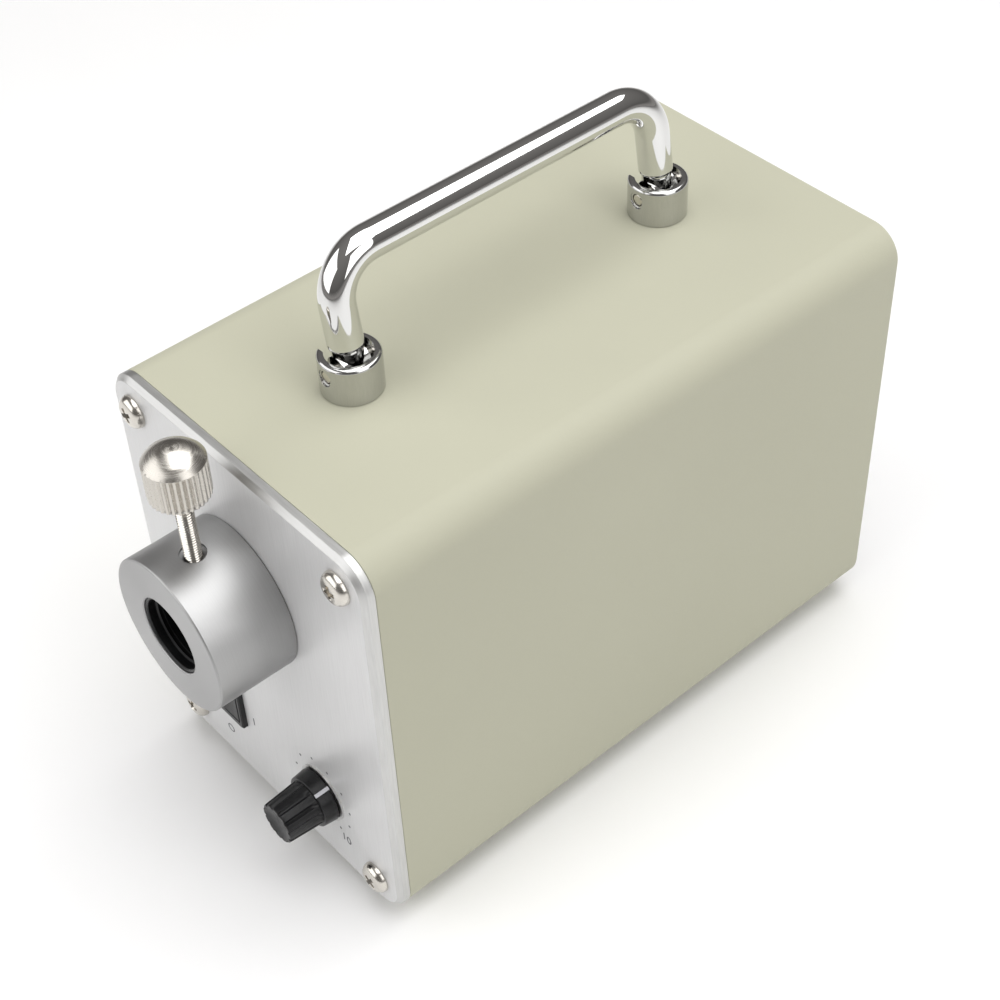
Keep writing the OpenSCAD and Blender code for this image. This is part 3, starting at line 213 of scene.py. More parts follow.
def circle(radius, steps=SMALL_ROUND):
    return [Vector((radius * math.cos(2 * math.pi * i / steps), radius * math.sin(2 * math.pi * i / steps)))
            for i in range(steps)]


def rounded_box(width, height, radius, steps):
    """Outline of a box with round corners, anticlockwise."""
    points = []
    for quarter, (side, level) in enumerate(((1, 1), (-1, 1), (-1, -1), (1, -1))):
        for step in range(steps + 1):
            turn = math.pi / 2 * (quarter + step / steps)
            points.append(Vector((side * (width / 2 - radius) + radius * math.cos(turn),
                                  level * (height / 2 - radius) + radius * math.sin(turn))))
    return points


def inset_box(width, height, radius, steps):
    """A box with round corners as a function of its inset, which is less than zero where the box grows."""
    return lambda inset: rounded_box(width - 2 * inset, height - 2 * inset, radius - inset, steps)


def upright(outline, x, y, z):
    """The points of an outline that stands across y."""
    return [Vector((x + p.x, y, z + p.y)) for p in outline]


def evenly(start, end, count):
    """Values in even steps from after the start up to the end."""
    return [start + (end - start) * i / count for i in range(1, count + 1)]


def softened(points, reach, steps=3):
    """An open outline with each inner corner rounded."""
    points = [Vector(p) for p in points]
    soft = [points[0]]
    for before, corner, after in zip(points, points[1:], points[2:]):
        a = before - corner
        b = after - corner
        near = min(reach, a.length * CORNER_SHARE, b.length * CORNER_SHARE)
        start, end = corner + a.normalized() * near, corner + b.normalized() * near
        for step in range(steps + 1):
            t = step / steps
            soft.append((1 - t) ** 2 * start + 2 * t * (1 - t) * corner + t * t * end)
    return soft + [points[-1]]


def loft(bm, rings, closed=True, caps=False):
    """Joins rings of points, one after another, into a skin."""
    rows = [[bm.verts.new(p) for p in ring] for ring in rings]
    for one, two in zip(rows, rows[1:]):
        count = len(one)
        for i in range(count if closed else count - 1):
            j = (i + 1) % count
            bm.faces.new((one[i], one[j], two[j], two[i]))
    if caps:
        bm.faces.new(rows[0])
        bm.faces.new(rows[-1])
    return rows


AXES = {
    "Y": (Vector((1, 0, 0)), Vector((0, 0, 1)), Vector((0, 1, 0))),
    "Z": (Vector((1, 0, 0)), Vector((0, 1, 0)), Vector((0, 0, 1))),
}


def lathe(bm, profile, centre, axis="Y", steps=SMALL_ROUND, shape=None):
    """Turns a profile of (radius, distance along the axis); shape may give each point a radius of its own."""
    side, up, along = AXES[axis]
    rings = []
    for radius, reach in profile:
        ring = []
        for i in range(steps):
            turn = 2 * math.pi * i / steps
            r = shape(radius, reach, turn) if shape else radius
            ring.append(centre + (side * math.cos(turn) + up * math.sin(turn)) * r + along * reach)
        rings.append(ring)
    return loft(bm, rings)


def fluting(turn, count, width, power):
    """Share of the full depth, at a turn, of flutes that stand evenly around a piece."""
    wave = abs((turn * count / (2 * math.pi)) % 1 - 0.5) * 2
    return max(0, 1 - wave / width) ** power


def slab(bm, rims):
    """Plate across y. A rim is its centre, its outline as a function of inset, and its (inset, y) steps."""
    sides = [[], []]
    for (x, z), outline, profile in rims:
        rows = loft(bm, [upright(outline(inset), x, y, z) for inset, y in profile])
        for side, row in zip(sides, (rows[0], rows[-1])):
            side += [bm.edges.get((a, b)) for a, b in zip(row, row[1:] + row[:1])]
    for side in sides:
        bmesh.ops.triangle_fill(bm, use_beauty=True, use_dissolve=False, edges=side)


def tube(bm, points, radii, steps=64):
    """Round tube along a line of points, with a radius for each point."""
    rings = []
    side = None
    last = len(points) - 1
    for i, (point, radius) in enumerate(zip(points, radii)):
        along = (points[min(i + 1, last)] - points[max(i - 1, 0)]).normalized()
        if side is None:
            side = along.orthogonal().normalized()
        side = (side - along * side.dot(along)).normalized()
        up = along.cross(side)
        rings.append([point + (side * math.cos(2 * math.pi * k / steps)
                               + up * math.sin(2 * math.pi * k / steps)) * radius for k in range(steps)])
    loft(bm, rings, caps=True)


def block(bm, a, b):
    """Box between two corners."""
    loft(bm, [[Vector((x, y, z)) for x, z in ((a[0], a[2]), (b[0], a[2]), (b[0], b[2]), (a[0], b[2]))]
              for y in (a[1], b[1])], caps=True)


# Pieces


def add_object(name, data):
    made = bpy.data.objects.new(name, data)
    bpy.context.scene.collection.objects.link(made)
    return made


def bare_object(name, bm):
    """Cleans a mesh and makes an object of it."""
    bmesh.ops.remove_doubles(bm, verts=bm.verts, dist=WELD)
    bmesh.ops.dissolve_degenerate(bm, edges=bm.edges, dist=SLIVER)
    bmesh.ops.recalc_face_normals(bm, faces=bm.faces)
    mesh = bpy.data.meshes.new(name)
    bm.to_mesh(mesh)
    bm.free()
    return add_object(name, mesh)


def settle(made):
    """Applies an object's modifiers."""
    bpy.context.view_layer.update()
    graph = bpy.context.evaluated_depsgraph_get()
    mesh = bpy.data.meshes.new_from_object(made.evaluated_get(graph))
    made.modifiers.clear()
    made.data = mesh


def piece(name, bm, body, nodes, slot=None, look=None, cutter=None, rounding=0):
    """Makes one piece of the object: its mesh, cut and rounded, and its body. It hides the nodes it stands for.

    Its finish is that of the given slot, or else of its first node's slot, unless look names another.
    """
    slot = slot or SLOTS[nodes[0]]
    made = bare_object(name, bm)
    if cutter is not None:
        tool = bare_object(name + "_tool", cutter)
        cut = made.modifiers.new("cut", "BOOLEAN")
        cut.object = tool
        cut.solver = "EXACT"
        cut.use_self = True
        settle(made)
        bpy.data.objects.remove(tool)
    if rounding:
        soft = made.modifiers.new("rounding", "BEVEL")
        soft.width = rounding
        soft.segments = 3
        soft.limit_method = "ANGLE"
        soft.angle_limit = SHARP
        soft.use_clamp_overlap = True
        settle(made)
    if not made.data.polygons:
        raise RuntimeError(f"{name} came out empty")
    made.data.shade_smooth()
    made.data.set_sharp_from_angle(angle=SHARP)
    made.modifiers.new("even_normals", "WEIGHTED_NORMAL").keep_sharp = True
    made.data.materials.clear()
    made.data.materials.append(finish(look or slot))
    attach(made, body)
    if nodes:
        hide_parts(*nodes)
    return made


# Node tools


def node(tree, kind, values=None, **options):
    """Adds a shader node, sets its options, and sets or links its inputs."""
    made = tree.nodes.new("ShaderNode" + kind)
    for key, value in options.items():
        setattr(made, key, value)
    for key, value in (values or {}).items():
        if isinstance(value, bpy.types.NodeSocket):
            tree.links.new(value, made.inputs[key])
        else:
            made.inputs[key].default_value = value
    return made


def product(tree, one, two):
    return node(tree, "Math", {0: one, 1: two}, operation="MULTIPLY").outputs[0]


def vectors(tree, operation, one, two=None, output="Vector"):
    """Works on one vector or two."""
    values = {0: one} if two is None else {0: one, 1: two}
    return node(tree, "VectorMath", values, operation=operation).outputs[output]


def spread(tree, value, least, most, start=0.0, end=1.0):
    """Maps a value between start and end onto least and most."""
    made = node(tree, "MapRange", {"Value": value, "From Min": start, "From Max": end,
                                   "To Min": least, "To Max": most})
    return made.outputs["Result"]


def mixed(tree, factor, one, two):
    """Mixes two colours, which are the seventh and eighth inputs of the node and its third output."""
    return node(tree, "Mix", {0: factor, 6: one, 7: two}, data_type="RGBA").outputs[2]


def place_on(tree):
    """Where a point lies on its object."""
    return node(tree, "TexCoord").outputs["Object"]


def clouds(tree, place, scale, detail):
    return node(tree, "TexNoise", {"Vector": place, "Scale": scale, "Detail": detail}).outputs["Fac"]


def bands(tree, scale):
    """Even bands across Z."""
    wave = node(tree, "TexWave", {"Vector": place_on(tree), "Scale": scale}, bands_direction="Z")
    return wave.outputs["Fac"]


# Shared effects


def new_group(name, inputs, output):
    """A group with inputs of (name, kind, default) and one output."""
    tree = bpy.data.node_groups.new(name, "ShaderNodeTree")
    for label, kind, default in inputs:
        socket = tree.interface.new_socket(name=label, in_out="INPUT", socket_type="NodeSocket" + kind)
        socket.default_value = default
    tree.interface.new_socket(name=output, in_out="OUTPUT", socket_type="NodeSocketFloat")
    return tree, tree.nodes.new("NodeGroupInput").outputs, tree.nodes.new("NodeGroupOutput").inputs[output]


def build_grain(name):
    """Fine noise, drawn out along the axes where Stretch is small."""
    tree, given, out = new_group(
        name, [("Stretch", "Vector", EVEN), ("Scale", "Float", 1000.0), ("Detail", "Float", 3.0)], "Value")
    pulled = vectors(tree, "MULTIPLY", place_on(tree), given["Stretch"])
    noise = clouds(tree, pulled, given["Scale"], given["Detail"])
    tree.links.new(spread(tree, noise, 0, 1, 0.25, 0.75), out)
    return tree


def build_rings(name):
    """Marks of a lathe tool around a centre line, along Y or Z."""
    tree, given, out = new_group(
        name, [("Centre", "Vector", (0, 0, 0)), ("Across", "Vector", (1, 0, 1)),
               ("Along", "Vector", (0, 1, 0)), ("Scale", "Float", 4000.0)], "Value")
    moved = vectors(tree, "SUBTRACT", place_on(tree), given["Centre"])
    across = vectors(tree, "MULTIPLY", moved, given["Across"])
    radius = vectors(tree, "LENGTH", across, output="Value")
    along = vectors(tree, "DOT_PRODUCT", moved, given["Along"], output="Value")
    spot = node(tree, "CombineXYZ", {"X": radius, "Y": along}).outputs[0]
    tree.links.new(spread(tree, clouds(tree, spot, given["Scale"], 2.0), 0, 1, 0.25, 0.75), out)
    return tree


def build_wear(name):
    """Mask of the rubbed outer edges, broken up by noise."""
    tree, given, out = new_group(name, [("Width", "Float", 0.4 * MM), ("Scale", "Float", 900.0)], "Mask")
    plain = node(tree, "NewGeometry").outputs["Normal"]
    soft = node(tree, "Bevel", {"Radius": given["Width"]}, samples=4).outputs["Normal"]
    edge = spread(tree, vectors(tree, "DOT_PRODUCT", plain, soft, output="Value"), 1, 0, 0.86, 0.995)
    noise = clouds(tree, place_on(tree), given["Scale"], 4.0)
    tree.links.new(product(tree, edge, spread(tree, noise, 0, 1, 0.35, 0.65)), out)
    return tree


def build_dust(name):
    """Mask of thin dust on what faces up."""
    tree, given, out = new_group(name, [("Scale", "Float", 60.0), ("Amount", "Float", 0.3)], "Mask")
    facing = node(tree, "SeparateXYZ", {0: node(tree, "NewGeometry").outputs["Normal"]}).outputs["Z"]
    patch = spread(tree, clouds(tree, place_on(tree), given["Scale"], 6.0), 0, 1, 0.35, 0.75)
    upper = spread(tree, facing, 0, 1, 0.1, 1)
    tree.links.new(product(tree, product(tree, patch, upper), given["Amount"]), out)
    return tree


def effect(tree, name, build, values):
    """Places a shared effect, which is built on its first use, with values of its own."""
    group = bpy.data.node_groups.get(name) or build(name)
    return node(tree, "Group", values, node_tree=group).outputs[0]


def grain(tree, scale, stretch=EVEN, detail=3.0):
    return effect(tree, "grain", build_grain, {"Stretch": stretch, "Scale": scale, "Detail": detail})


def lathe_rings(tree, centre, axis, scale):
    across, along = {"Y": ((1, 0, 1), (0, 1, 0)), "Z": ((1, 1, 0), (0, 0, 1))}[axis]
    return effect(tree, "lathe_rings", build_rings,
                  {"Centre": centre, "Across": across, "Along": along, "Scale": scale})


def wear(tree, width, scale):
    return effect(tree, "edge_wear", build_wear, {"Width": width, "Scale": scale})


def dust(tree, scale, amount):
    return effect(tree, "dust", build_dust, {"Scale": scale, "Amount": amount})


# Finishes


def shader_of(name, base, roughness, metallic=0.0, **sockets):
    """A material with one shader, and constants on the shader's own sockets."""
    material = bpy.data.materials.new(name + "_finish")
    material.use_nodes = True
    shader = material.node_tree.nodes["Principled BSDF"]
    shader.inputs["Base Color"].default_value = (*base, 1)
    shader.inputs["Roughness"].default_value = roughness
    shader.inputs["Metallic"].default_value = metallic
    for key, value in sockets.items():
        shader.inputs[key.replace("_", " ")].default_value = value
    return material.node_tree, shader


def finish(name):
    """The finish for a slot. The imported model's own materials have the bare names."""
    return bpy.data.materials[name + "_finish"]


def scaled(rgb, factor):
    return tuple(c * factor for c in rgb)


def shade(rgb, factor):
    return (*(min(1, c * factor) for c in rgb), 1)


def vary(tree, shader, value, base, shades, gloss):
    """Lets a value change the colour between two shades and the roughness between two limits."""
    dark, light = shades
    tree.links.new(mixed(tree, value, shade(base, dark), shade(base, light)), shader.inputs["Base Color"])
    tree.links.new(spread(tree, value, *gloss), shader.inputs["Roughness"])


def relief(tree, shader, height, depth, strength):
    """Bump of a real depth."""
    bump = node(tree, "Bump", {"Height": height, "Distance": depth, "Strength": strength})
    tree.links.new(bump.outputs["Normal"], shader.inputs["Normal"])


def run_gloss(tree, shader, axis):
    """Lets the gloss run across the marks of turning or brushing."""
    tangent = node(tree, "Tangent", direction_type="RADIAL", axis=axis)
    tree.links.new(tangent.outputs["Tangent"], shader.inputs["Tangent"])


def grained(name, base, roughness, metallic, noise, shades, gloss, bump=None, axis=None, **sockets):
    """A finish whose colour and gloss follow a grain of (scale, stretch, detail), and its relief if given."""
    tree, shader = shader_of(name, base, roughness, metallic, **sockets)
    value = grain(tree, *noise)
    vary(tree, shader, value, base, shades, gloss)
    if bump:
        relief(tree, shader, value, *bump)
    if axis:
        run_gloss(tree, shader, axis)


def turned_metal(name, base, centre, axis, gloss, anisotropic, marks):
    """Metal with the marks of a lathe tool around its centre line."""
    tree, shader = shader_of(name, base, gloss[1], 1.0, Anisotropic=anisotropic)
    mark = lathe_rings(tree, centre, axis, marks)
    vary(tree, shader, mark, base, (0.93, 1.04), gloss)
    relief(tree, shader, mark, 0.003 * MM, 0.4)
    run_gloss(tree, shader, axis)


def powder_coat(base):
    """Textured paint with faint patches and a film of dust."""
    tree, shader = shader_of("powder_coat", base, 0.6, Specular_IOR_Level=0.3)
    coat = mixed(tree, grain(tree, 14.0, detail=4.0), shade(base, 0.975), shade(base, 1.02))
    film = dust(tree, 45.0, 0.12)
    tree.links.new(mixed(tree, film, coat, shade(base, 1.12)), shader.inputs["Base Color"])
    peel = grain(tree, 1500.0, detail=2.0)
    tree.links.new(spread(tree, peel, 0.52, 0.66), shader.inputs["Roughness"])
    relief(tree, shader, peel, 0.012 * MM, 0.55)


def nickel_with_painted_thread_shade(base, pitch):
    """Nickel plate with painted shade at the root of a thread: bands darken its colour there, as the thread's own
    shadow would.
    """
    tree, shader = shader_of("nickel_painted_thread_shade", base, 0.2, 1.0)
    turns = bands(tree, WAVE_LENGTH / pitch)
    # bands of painted shade: at the thread's roots the colour falls to about a sixth of the plate's
    vary(tree, shader, spread(tree, turns, 0, 1, 0.0, 0.6), base, (0.16, 1.0), (0.34, 0.16))


def moulded_plastic(name, base, gloss):
    """Moulded skin, rubbed paler along its edges, with a little dust."""
    tree, shader = shader_of(name, base, gloss[1], Specular_IOR_Level=0.35)
    rubbed = (*(c + 0.008 for c in base), 1)
    dusty = (0.3, 0.3, 0.28, 1)
    skin = grain(tree, 1800.0)
    worn = mixed(tree, wear(tree, 0.4 * MM, 900.0), shade(base, 1), rubbed)
    tree.links.new(mixed(tree, dust(tree, 120.0, 0.02), worn, dusty), shader.inputs["Base Color"])
    tree.links.new(spread(tree, skin, *gloss), shader.inputs["Roughness"])
    relief(tree, shader, skin, 0.006 * MM, 0.5)


def circuit_board(name, base, tracks):
    """Solder mask over fine tracks."""
    tree, shader = shader_of(name, base, 0.3, Coat_Weight=0.3)
    cells = node(tree, "TexVoronoi", {"Vector": place_on(tree), "Scale": 420.0}, feature="DISTANCE_TO_EDGE",
                 distance="EUCLIDEAN").outputs["Distance"]
    track = spread(tree, cells, 1, 0, 0.02, 0.06)
    tree.links.new(mixed(tree, track, shade(base, 1), shade(base, tracks)), shader.inputs["Base Color"])
    relief(tree, shader, track, 0.03 * MM, 0.5)


def clear_glass(base):
    """Glass with the faintest film."""
    tree, shader = shader_of("clear_glass", base, 0.02, IOR=1.5, Transmission_Weight=1.0)
    tree.links.new(spread(tree, grain(tree, 90.0, detail=4.0), 0.0, 0.04), shader.inputs["Roughness"])


def copper_winding(base):
    """Varnished turns of wire, with painted shade in the grooves between the turns and a faint painted highlight
    on their crowns.
    """
    tree, shader = shader_of("winding", base, 0.3, 0.8, Coat_Weight=0.5)
    wave = bands(tree, 900.0)
    # the wave darkens the grooves to half the copper's colour, painted shade, and lifts the crowns a little,
    # painted highlight
    vary(tree, shader, wave, base, (0.5, 1.1), (0.25, 0.4))
    relief(tree, shader, wave, 0.1 * MM, 0.6)


def make_metals(colours, pitch):
    aluminium, chrome, nickel = colours.aluminium, colours.chrome, colours.nickel
    steel = scaled(chrome, 0.92)
    grained("brushed_panel", aluminium, 0.36, 0.36, (9000.0, (1, 1, 0.012), 4.0), (0.80, 0.93), (0.30, 0.43),
            (0.004 * MM, 0.4), "Z", Anisotropic=0.7)
    grained("bright_bevel", chrome, 0.28, 1.0, (2500.0, (0.06, 1, 0.06), 3.0), (0.74, 0.86), (0.38, 0.50))
    grained("mill_aluminium", aluminium, 0.4, 1.0, (5000.0, (0.02, 1, 1), 4.0), (0.80, 0.92), (0.34, 0.48),
            (0.003 * MM, 0.4))
    grained("bright_chrome", chrome, 0.05, 1.0, (55.0, (1, 0.35, 1), 5.0), (0.97, 1.04), (0.025, 0.085))
    grained("satin_steel", steel, 0.2, 1.0, (5200.0, (1, 1, 0.05), 3.0), (0.78, 0.86), (0.10, 0.18),
            (0.001 * MM, 0.15))
    grained("nickel_plate", nickel, 0.15, 1.0, (700.0, EVEN, 4.0), (0.90, 1.05), (0.16, 0.28))
    grained("zinc_plate", steel, 0.32, 1.0, (900.0, EVEN, 5.0), (0.78, 0.96), (0.24, 0.42))
    grained("brass", (0.62, 0.45, 0.16), 0.28, 1.0, (1200.0, EVEN, 4.0), (0.82, 1.0), (0.2, 0.38))
    grained("black_anodise", (0.012, 0.012, 0.013), 0.4, 0.6, (3000.0, EVEN, 3.0), (0.8, 1.4), (0.3, 0.45))
    port, clamp = middle("light_port"), middle("thumb_screw_head")
    turned_metal("turned_aluminium", scaled(aluminium, 0.5), port, "Y", (0.34, 0.46), 0.6, 4000.0)
    turned_metal("clamp_nickel", scaled(nickel, 0.86), clamp, "Z", (0.2, 0.3), 0.8, 3000.0)
    # nickel with painted shade in the roots of the clamp screw's thread
    nickel_with_painted_thread_shade(nickel, pitch)
    copper_winding((0.55, 0.22, 0.07))


def make_other_finishes(colours):
    powder_coat(colours.coat)
    moulded_plastic("black_plastic", colours.plastic, (0.26, 0.38))
    moulded_plastic("grey_plastic", (0.016, 0.016, 0.018), (0.4, 0.55))
    moulded_plastic("block_green", (0.02, 0.15, 0.08), (0.35, 0.5))
    grained("black_rubber", colours.rubber, 0.8, 0.0, (2200.0, EVEN, 5.0), (0.7, 1.5), (0.7, 0.9),
            (0.02 * MM, 0.6), Specular_IOR_Level=0.35)
    grained("lamp_yellow", (0.85, 0.62, 0.08), 0.2, 0.0, (5000.0, EVEN, 3.0), (0.85, 1.05), (0.15, 0.3),
            Coat_Weight=1.0)
    for name, base in (("pale_ink", (0.62, 0.62, 0.66)), ("dark_ink", colours.print)):
        grained(name, base, 0.5, 0.0, (6000.0, EVEN, 2.0), (0.85, 1.15), (0.42, 0.6))
    for name, base in (("sleeve_blue", (0.012, 0.022, 0.08)), ("lead_red", (0.45, 0.015, 0.012)),
                       ("lead_black", (0.012, 0.012, 0.012)), ("lead_white", (0.68, 0.68, 0.60)),
                       ("lead_brown", (0.08, 0.04, 0.018))):
        grained(name, base, 0.42, 0.0, (1500.0, EVEN, 3.0), (0.85, 1.1), (0.35, 0.5))
    circuit_board("board_green", (0.012, 0.12, 0.04), 2.2)
    circuit_board("board_white", (0.80, 0.81, 0.82), 0.9)
    clear_glass((0.94, 0.98, 0.99))


# Operators


class BuildStep(bpy.types.Operator):
    """Base of the steps that build the object."""
    bl_idname = "illuminator.build_step"
    bl_label = "Build step"
    bl_options = {"REGISTER", "UNDO"}

    def execute(self, context):
        self.build(context.scene.illuminator)
        return {"FINISHED"}

    def build(self, settings):
        raise RuntimeError("a build step has no work of its own")


class BuildStage(BuildStep):
    """Sets the floor, the lights, the surroundings and the camera"""
    bl_idname = "illuminator.stage"
    bl_label = "Stage"

    def build(self, settings):
        self.place_camera(settings.studio)
        self.lay_floor(settings.colours.floor)
        self.hang_lights()
        self.paint_surroundings()
        bpy.context.scene.view_settings.view_transform = "Standard"

    def place_camera(self, studio):
        camera = add_object("camera", bpy.data.cameras.new("camera"))
        camera.data.lens = studio.lens
        camera.data.clip_start = 10 * MM
        back = Vector((math.sin(studio.azimuth) * math.cos(studio.elevation),
                       -math.cos(studio.azimuth) * math.cos(studio.elevation), math.sin(studio.elevation)))
        camera.location = Vector(studio.target) + back * studio.distance
        aim = back.to_track_quat("Z", "Y").to_matrix().to_4x4()
        camera.rotation_euler = (aim @ Matrix.Rotation(studio.roll, 4, "Z")).to_euler()
        bpy.context.scene.camera = camera

    def lay_floor(self, base):
        bm = bmesh.new()
        reach = 3.0
        loft(bm, [[Vector((x, y, 0)) for x in (-reach, reach)] for y in (-reach, reach)], closed=False)
        floor = bare_object("studio_floor", bm)
        grained("floor_paper", base, 0.7, 0.0, (8.0, EVEN, 5.0), (0.985, 1.0), (0.65, 0.75))
        floor.data.materials.append(finish("floor_paper"))

    def hang_lights(self):
        heart = Vector((0, 0, 0.06))
        for name, place, width, height, power in (
                ("overhead_box", (0.1, 0.2, 1.1), 1.1, 1.1, 11.8),
                ("right_window", (1.1, 0.1, 0.75), 0.8, 1.0, 5.0),
                ("front_box", (-0.5, -1.1, 0.75), 1.8, 1.1, 11.0)):
            lamp = bpy.data.lights.new(name, "AREA")
            lamp.shape = "RECTANGLE"
            lamp.size, lamp.size_y = width, height
            lamp.energy = power
            holder = add_object(name, lamp)
            holder.location = place
            holder.rotation_euler = (Vector(place) - heart).to_track_quat("Z", "Y").to_euler()

    def paint_surroundings(self):
        """A room that is light below, darkest just over the horizon and dim above, and a little warm."""
        stops = ((0.0, 0.5), (0.50, 0.32), (0.56, 0.13), (0.66, 0.17), (1.0, 0.26))
        warmth = (1, 0.96, 0.93)
        world = bpy.data.worlds.new("studio_room")
        bpy.context.scene.world = world
        world.use_nodes = True
        tree = world.node_tree
        tree.nodes.clear()
        way = node(tree, "TexCoord").outputs["Generated"]
        height = node(tree, "SeparateXYZ", {0: way}).outputs["Z"]
        ramp = node(tree, "ValToRGB", {0: spread(tree, height, 0, 1, -1, 1)})
        while len(ramp.color_ramp.elements) < len(stops):
            ramp.color_ramp.elements.new(0.5)
        for element, (where, level) in zip(ramp.color_ramp.elements, stops):
            element.position = where
            element.color = (*scaled(warmth, level), 1)
        light = node(tree, "Background", {"Color": ramp.outputs["Color"], "Strength": 0.9})
        out = node(tree, "OutputWorld", {"Surface": light.outputs[0]})
        out.is_active_output = True


class ApplyFinishes(BuildStep):
    """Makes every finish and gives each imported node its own"""
    bl_idname = "illuminator.finishes"
    bl_label = "Finishes"

    def build(self, settings):
        make_metals(settings.colours, settings.port.pitch)
        make_other_finishes(settings.colours)
        for name, holder in frame["nodes"].items():
            holder.data.materials.clear()
            holder.data.materials.append(finish(SLOTS[name]))


class BuildSleeve(BuildStep):
    """Builds the powder-coated sleeve with its air slots and corner blocks"""
    bl_idname = "illuminator.sleeve"
    bl_label = "Sleeve"

    def build(self, settings):
        case = settings.case
        a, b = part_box("case_sleeve")
        width, deep, tall = b - a
        level = middle("case_sleeve").z
        edge = case.edge
        chip = edge * 0.3
        outline = inset_box(width, tall, case.corner, CASE_STEPS)
        lip = [(case.wall, edge), (case.wall - edge, 0), (edge, 0), (chip, chip), (0, edge)]
        steps = [(inset, a.y + reach) for inset, reach in lip]
        steps += [(0, a.y + deep * share) for share in (0.02, 0.25, 0.5, 0.75, 0.98)]
        steps += [(inset, b.y - reach) for inset, reach in reversed(lip)]
        rings = [upright(outline(inset), 0, y, level) for inset, y in steps]
        bm = bmesh.new()
        loft(bm, rings + rings[:1])
        piece("sleeve", bm, "case", ["case_sleeve"], cutter=self.openings(case, a))
        self.build_blocks(case, a, b, level)

    def build_blocks(self, case, a, b, level):
        """The blocks in the sleeve's corners, which take the panel screws."""
        bore, rounding = 2.05 * MM, 0.2 * MM
        near, half, sill = case.block * 0.8, case.block * 0.4, case.block * 0.1
        back = low("rear_panel").y
        bm = bmesh.new()
        for x, z in corners("front_panel_screws", case.screw_head / 2):
            side, rise = math.copysign(1, x), math.copysign(1, z - level)
            wall = side * (b.x - case.wall)
            for front, end in ((a.y, a.y + case.block_length), (back - case.block_length, back)):
                profile = softened([(bore, front), (case.block, front), (case.block, end), (bore, end),
                                    (bore, front)], rounding, 2)
                lathe(bm, profile, Vector((x, 0, z)))
                block(bm, (min(x + side * near, wall), front, z - half),
                      (max(x + side * near, wall), end, z + rise * half + sill))
        piece("corner_blocks", bm, "case", ["case_sleeve"])

    def openings(self, case, a):
        """Air slots through the floor."""
        outline = rounded_box(case.slot_width, case.slot_length, case.slot_width * 0.49, 6)
        middle_y = a.y + case.slot_front + case.slot_length / 2
        bm = bmesh.new()
        for i in range(case.slots):
            x = (i - (case.slots - 1) / 2) * case.slot_pitch
            loft(bm, [[Vector((x + p.x, middle_y + p.y, z)) for p in outline]
                      for z in (a.z - case.wall, a.z + 2 * case.wall)], caps=True)
        return bm


class BuildFrontPanel(BuildStep):
    """Builds the brushed front panel with its bright bevel, and its four screws"""
    bl_idname = "illuminator.front_panel"
    bl_label = "Front panel"

    def build(self, settings):
        case = settings.case
        a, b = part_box("front_panel")
        width, _, tall = b - a
        level = middle("front_panel").z
        bevel, chip = case.bevel, case.hole_edge
        back_edge, land, rounding = 0.1 * MM, 0.3 * MM, 0.12 * MM
        screw_hole, port_hole, shaft_hole = 2.2 * MM, 13.2 * MM, 3.7 * MM
        switch_hole = inset_box(12.4 * MM, 13.4 * MM, 0.6 * MM, 4)
        outer_steps = softened([(back_edge, b.y), (0, b.y - back_edge), (0, a.y + bevel), (bevel, a.y),
                                (bevel + land, a.y)], rounding)
        hole_steps = [(-chip, b.y), (0, b.y - chip), (0, a.y + chip), (-chip, a.y)]

        def round_hole(x, z, radius):
            return (x, z), lambda grow: circle(radius - grow), hole_steps

        places = corners("front_panel_screws", case.screw_head / 2)
        port, dial, switch = middle("light_port"), middle("pot_shaft"), middle("rocker_housing")
        rims = [((0, level), inset_box(width, tall, case.corner, CASE_STEPS), outer_steps)]
        rims += [round_hole(x, z, screw_hole) for x, z in places]
        rims += [round_hole(port.x, port.z, port_hole), round_hole(dial.x, dial.z, shaft_hole),
                 ((switch.x, switch.z), switch_hole, hole_steps)]
        bm = bmesh.new()
        slab(bm, rims)
        made = piece("front_plate", bm, "case", ["front_panel"])
        self.polish_bevel(made, case.corner, width, tall, level)
        self.build_screws(case, a.y, places)

    def polish_bevel(self, made, corner, width, tall, level):
        """Gives the faces of the panel's outer edge their bright finish."""
        flat = 0.97
        made.data.materials.append(finish("bright_bevel"))
        for face in made.data.polygons:
            x, _, z = face.center
            outside = max(abs(x) - width / 2 + corner, abs(z - level) - tall / 2 + corner)
            if abs(face.normal.y) < flat and outside > corner / 2:
                face.material_index = 1

    def build_screws(self, case, face, places):
        """Four pan screws, with each cross recess at a turn of its own."""
        head, height, shank = case.screw_head / 2, case.screw_height, 12 * MM
        turns = (12, 62, 35, 80)
        pan_shares = [(0, 1), (0.5, 0.97), (0.78, 0.84), (0.95, 0.5), (1, 0.12), (1, 0), (0.5, 0)]
        cross_shares = [(1.3, 0.56, 0.15), (0.25, 0.2, 0.09)]
        square = ((-1, -1), (1, -1), (1, 1), (-1, 1))
        profile = [(head * out, height * up) for out, up in pan_shares] + [(head * 0.5, -shank), (0, -shank)]
        profile = [(radius, -reach) for radius, reach in softened(profile, head * 0.12)]
        bm, tool = bmesh.new(), bmesh.new()
        for (x, z), turn in zip(places, turns):
            centre = Vector((x, face, z))
            lathe(bm, profile, centre)
            for quarter in (0, 90):
                spin = Matrix.Rotation(math.radians(turn + quarter), 3, "Y")
                loft(tool, [[centre + spin @ Vector((sx * head * half, -height * up, sz * head * wide))
                             for sx, sz in square] for up, half, wide in cross_shares], caps=True)
        piece("front_screws", bm, "case", ["front_panel_screws"], cutter=tool)


